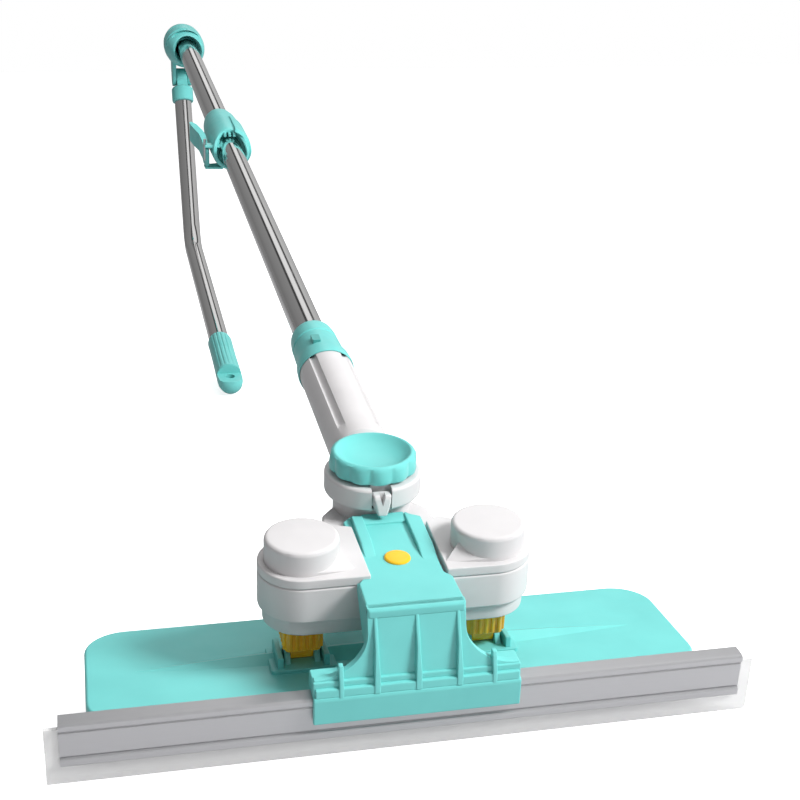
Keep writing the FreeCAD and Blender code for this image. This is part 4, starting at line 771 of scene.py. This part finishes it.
for vert in hood.verts:
    reach = vert.co.xz.length
    if reach > 1:
        aside = math.degrees(math.atan2(vert.co.z, vert.co.x))
        for near, far in slots:
            if 84 < aside < 172 and near - 0.01 < vert.co.y < far + 0.01:
                vert.co.xz *= 1 - slot_depth / reach
        full = min(1, max(0, vert.co.y - rim) / 30)
        vert.co.xz *= 1 + swell * full
        vert.co.x -= offset_x * full
        if vert.co.y < rim + 15:
            vert.co.y += scoop * max(0, vert.co.z / reach) ** 1.4
cheeks = []
pivot = from_frame @ Vector(joints["rod_fold"]["pos_m"])
rod_x = pivot.x
fold_y = pivot.y
fold_z = pivot.z - pole_level
for inner, outer in ((-12.3, -7.4), (7.4, 12.3)):
    cheek = drawn([(fold_y - 18, -12), (fold_y + 20, -10), (fold_y + 15, fold_z + 8), (fold_y + 12, fold_z),
                   (fold_y + 8.5, fold_z - 8.5), (fold_y, fold_z - 12), (fold_y - 8.5, fold_z - 8.5),
                   (fold_y - 12, fold_z), (fold_y - 14, fold_z + 10)], rod_x + inner, rod_x + outer, "x")
    cheeks.append(soft(soft(cheek, 3, 4, runs("x")), 1.1))
web = drawn([(rod_x - 10, -26), (rod_x + 8, -24), (2, -10), (-17, -10)], fold_y + 9, fold_y + 14, "y")
soft(web, 1.4)
keep(moved(joined(hood, *cheeks, web), z=pole_level), "elbow_moulding", teal, "outer_pole", "elbow_hood")

# ---- folding link ---------------------------------------------------------------------------------------
# Turquoise link: an eye on the fold pin and a socket with a slot, pressed over the end of the bent rod.
corner_y = 1249
corner_z = -145
rod_radius = 11
rod_seat = rod_radius + 0.05
eye_radius = 12
eye_half = 7
leg = Vector((0, fold_y - corner_y, pole_level + fold_z - corner_z))
leg_angle = math.atan2(leg.z, leg.y)
eye = turned([(0, -eye_half), (eye_radius, -eye_half), (eye_radius, eye_half), (0, eye_half)], 64)
bmesh.ops.rotate(eye, cent=(0, 0, 0), matrix=Matrix.Rotation(math.pi / 2, 3, "Y"), verts=eye.verts)
neck = soft(drawn([(-17, -9.5), (0, -10), (0, 10), (-17, 9.5)], -eye_half, eye_half, "x"), 1.4)
socket_mouth = -34
socket_floor = -14.9
socket_outside = [(13, socket_mouth), (13.9, socket_mouth + 1), (14, -22), (13.9, -16.6), (12.6, -14.6),
                  (0, -14)]
socket_bore = [(0, socket_floor), (rod_seat, socket_floor), (rod_seat, socket_mouth)]
socket = turned([(rod_seat, socket_mouth), *socket_outside, *socket_bore], 96, "y")
slot_lips = []
for x in (-3.4, 3.4):
    slot_lip = soft(drawn(rectangle(x - 0.8, -32, x + 0.8, -17), 12.4, 14.9), 0.3)
    bmesh.ops.rotate(slot_lip, cent=(0, 0, 0), matrix=Matrix.Rotation(math.pi, 3, "Y"), verts=slot_lip.verts)
    slot_lips.append(slot_lip)
link = joined(soft(eye, 1.2), neck, soft(socket, 0.5, 2, sharper=0.7), *slot_lips)
bmesh.ops.rotate(link, cent=(0, 0, 0), matrix=Matrix.Rotation(leg_angle, 3, "X"), verts=link.verts)
keep(moved(link, rod_x, fold_y, pole_level + fold_z), "link_moulding", teal, "handle_rod", "folding_link")

# ---- bent rod -------------------------------------------------------------------------------------------
# Bright steel tube with one cold bend, from the link's socket down and back under the pole to the grip.
bend = 45
bend_steps = 24
sides = 72
free_end = 829
bend_start = corner_y - bend * math.tan(leg_angle / 2)
stations = [(free_end, corner_z, 0), (bend_start, corner_z, 0)]
for step in range(1, bend_steps + 1):
    turn = leg_angle * step / bend_steps
    stations.append((bend_start + bend * math.sin(turn), corner_z + bend * (1 - math.cos(turn)), turn))
top = leg.normalized() * (leg.length - 14)
stations.append((corner_y + top.y, corner_z + top.z, leg_angle))
rod = bmesh.new()
rings = []
for y, z, turn in stations:
    across = Vector((0, -math.sin(turn), math.cos(turn)))
    ring = []
    for side in range(sides):
        angle = 2 * math.pi * side / sides
        level_part = Vector((rod_x + rod_radius * math.cos(angle), y, z))
        ring.append(rod.verts.new(level_part + across * rod_radius * math.sin(angle)))
    rings.append(ring)
for before, after in zip(rings, rings[1:]):
    for i in range(sides):
        rod.faces.new([before[i - 1], before[i], after[i], after[i - 1]])
rod.faces.new(rings[0])
rod.faces.new(rings[-1])
keep(rod, "bent_steel_rod", steel, "handle_rod", "bent_rod", weighted=False)

# ---- grip and end cap -----------------------------------------------------------------------------------
# Turquoise grip with a few grooves along it, and a plugged cap with a hole to hang the tool up.
grip_start = 814
grip_end = 908
groove_half = 4.5
groove_depth = 0.06
outside = [(13.2, grip_start), (13.2, grip_start + 2), (13.1, 832), (12.9, 860), (13.0, 888), (13.2, 904),
           (12.6, 907.2), (11.6, grip_end)]
grip = turned([(rod_seat, grip_start), *outside, (rod_seat, grip_end), (rod_seat, grip_start)], 144, "y")
for vert in grip.verts:
    if vert.co.xz.length > 12 and 820 < vert.co.y < 905:
        aside = math.degrees(math.atan2(vert.co.x, vert.co.z))
        for groove_at in (-40, -20, 0, 20, 40):
            share = max(0, 1 - ((aside - groove_at) / groove_half) ** 2)
            vert.co.xz *= 1 - groove_depth * share
keep(moved(soft(grip, 0.3, 2, sharper=0.9), rod_x, 0, corner_z), "grip_moulding", teal, "handle_rod", "grip")

hole_y = 803
hole_radius = 5
plug_end = 825
cap = turned([(0, 787), (5, 787.4), (9, 789.4), (11.8, 793), (13.0, 799), (13.2, 804), (13.2, 812.4),
              (12.7, 813.4), (11.1, 813.6), (rod_radius, plug_end), (0, plug_end)], 144, "y")
flat_cut = drawn(rectangle(-15, 780, 15, 811.6), 4, 16)
hole = moved(turned([(0, -20), (hole_radius, -20), (hole_radius, 20), (0, 20)], 48), y=hole_y)
cap = bored(bored(cap, flat_cut), hole)
soft(cap, 0.8, 3, sharper=0.9)
keep(moved(cap, rod_x, 0, corner_z), "end_cap", teal, "handle_rod", "grip_end_cap")

# ---- hidden hardware ------------------------------------------------------------------------------------
# Springs, screws, pins, the bolt with its washer and nut, the tube bush and the hook strips.
zinc = Finish("steel_screws", (0.55, 0.55, 0.56), Metallic=1.0, Roughness=0.35)
zinc.feed("Base Color", zinc.between(zinc.noise(300, 3), (0.46, 0.46, 0.47), (0.62, 0.62, 0.63)))
zinc.feed("Roughness", zinc.span(zinc.noise(500, 2), 0.28, 0.45))
zinc.grain(zinc.noise(2000, 2), 0.00001, 0.4)
wire_steel = Finish("spring_steel", (0.35, 0.35, 0.36), Metallic=1.0, Roughness=0.4)
cloud = wire_steel.noise(400, 3)
wire_steel.feed("Base Color", wire_steel.between(cloud, (0.28, 0.28, 0.29), (0.42, 0.42, 0.43)))
brass = Finish("brass", (0.72, 0.52, 0.22), Metallic=1.0, Roughness=0.35)
brass.feed("Base Color", brass.between(brass.noise(300, 3), (0.62, 0.43, 0.17), (0.76, 0.56, 0.25)))
black = plastic("dark_plastic", (0.03, 0.03, 0.032), (0.045, 0.045, 0.048), 0.45)
hooks = Finish("hook_tape", (0.05, 0.05, 0.055), Roughness=0.8)
pile = hooks.node("ShaderNodeTexVoronoi", Vector=hooks.place, Scale=900)
hooks.feed("Base Color", hooks.between(pile, (0.03, 0.03, 0.032), (0.10, 0.10, 0.105)))
hooks.grain(pile, 0.0006, 0.8)
for finish, nodes in (
        (zinc, ("clamp_screws", "body_screws", "foot_pins", "swivel_bolt", "latch_pin", "clamp_pin",
                "fold_pin")),
        (wire_steel, ("button_spring", "left_suspension_spring", "right_suspension_spring")),
        (brass, ("knob_nut",)), (black, ("tube_bush", "slip_washer")), (hooks, ("hook_strips",))):
    for node in nodes:
        solid = frame["nodes"][node]
        solid.material_slots[0].link = "OBJECT"
        solid.material_slots[0].material = finish.material

# ---- floor, light and camera ----------------------------------------------------------------------------
# A plain pale floor under a bright even studio, with narrow dark cards that draw lines on bright steel.
low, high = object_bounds()
ground = bmesh.new()
bmesh.ops.create_grid(ground, x_segments=1, y_segments=1, size=40)
mesh = bpy.data.meshes.new("floor")
bmesh.ops.translate(ground, verts=ground.verts, vec=(0, 0, low.z - 0.0004))
ground.to_mesh(mesh)
ground.free()
floor = bpy.data.objects.new("floor", mesh)
scene.collection.objects.link(floor)
paper = Finish("paper", (0.9, 0.9, 0.9), Roughness=0.75, Specular_IOR_Level=0.2, Emission_Color=(1, 1, 1, 1),
               Emission_Strength=0.75)
paper.feed("Base Color", paper.between(paper.noise(0.7, 2), (0.89, 0.89, 0.895), (0.91, 0.91, 0.91)))
dull = paper.tree.nodes.new("ShaderNodeBsdfDiffuse")
dull.inputs["Color"].default_value = (0.55, 0.55, 0.56, 1)


def show(tree, direct, otherwise, surface):
    """Give the camera one shader, and every other ray another."""
    seen = tree.nodes.new("ShaderNodeLightPath")
    either = tree.nodes.new("ShaderNodeMixShader")
    tree.links.new(seen.outputs["Is Camera Ray"], either.inputs[0])
    tree.links.new(otherwise.outputs[0], either.inputs[1])
    tree.links.new(direct.outputs[0], either.inputs[2])
    tree.links.new(either.outputs[0], surface)


show(paper.tree, paper.shader, dull, paper.tree.nodes["Material Output"].inputs["Surface"])
mesh.materials.append(paper.material)
floor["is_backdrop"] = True

world = bpy.data.worlds.new("studio")
scene.world = world
world.use_nodes = True
tree = world.node_tree
background = tree.nodes["Background"]
output = tree.nodes["World Output"]
way = tree.nodes.new("ShaderNodeTexCoord")
apart = tree.nodes.new("ShaderNodeSeparateXYZ")
tree.links.new(way.outputs["Generated"], apart.inputs[0])
east = Wire(tree, apart.outputs[0])
north = Wire(tree, apart.outputs[1])
height = Wire(tree, apart.outputs[2])
round_pole = height.maths("ARCTAN2", height - north * 0.2, east)
bands = tree.nodes.new("ShaderNodeValToRGB")
brightest = 1.6
stops = [(0.0, 0.34), (0.50, 0.9), (0.585, 1.1), (0.605, 0.10), (0.635, 0.14), (0.65, brightest),
         (0.735, brightest), (0.75, 0.08), (0.78, 0.10), (0.80, 0.5), (0.93, 0.42), (1.0, 0.34)]
ramp = bands.color_ramp
while len(ramp.elements) < len(stops):
    ramp.elements.new(0.5)
for element, (place, shade) in zip(ramp.elements, stops):
    element.position = place
    level = shade / brightest
    element.color = (level, level, level, 1)
turn_share = round_pole * (1 / (2 * math.pi)) + 0.5
tree.links.new(turn_share.socket, bands.inputs[0])
tree.links.new(bands.outputs[0], background.inputs["Color"])
background.inputs["Strength"].default_value = 0.9
plain = tree.nodes.new("ShaderNodeBackground")
plain.inputs["Color"].default_value = (1, 1, 1, 1)
plain.inputs["Strength"].default_value = 1.0
show(tree, plain, background, output.inputs["Surface"])


def softbox(name, place, target, size, power):
    light = bpy.data.lights.new(name, "AREA")
    light.shape = "RECTANGLE"
    light.size, light.size_y = size
    light.energy = power
    lamp = bpy.data.objects.new(name, light)
    lamp.location = place
    lamp.rotation_euler = (Vector(target) - Vector(place)).to_track_quat("-Z", "Y").to_euler()
    lamp.visible_glossy = False
    scene.collection.objects.link(lamp)


softbox("key light", (1.7, -1.7, 1.7), (0, -0.35, 0.1), (0.7, 0.7), 84)
softbox("top light", (0.2, -0.2, 2.6), (0, 0, 0.1), (1.6, 1.6), 17)
scene.view_settings.view_transform = "Standard"

camera = bpy.data.cameras.new("camera")
camera.lens = 64.648
camera.sensor_width = 36
viewer = bpy.data.objects.new("camera", camera)
stand = Matrix.Translation((-151.06, -572.18, 463.05))
aim = Euler([math.radians(a) for a in (65.527, -2.0485, -12.4475)]).to_matrix().to_4x4()
viewer.rotation_mode = "QUATERNION"
viewer.location, viewer.rotation_quaternion, _ = (tool @ stand @ aim).decompose()
scene.collection.objects.link(viewer)
scene.camera = viewer

low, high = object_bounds()
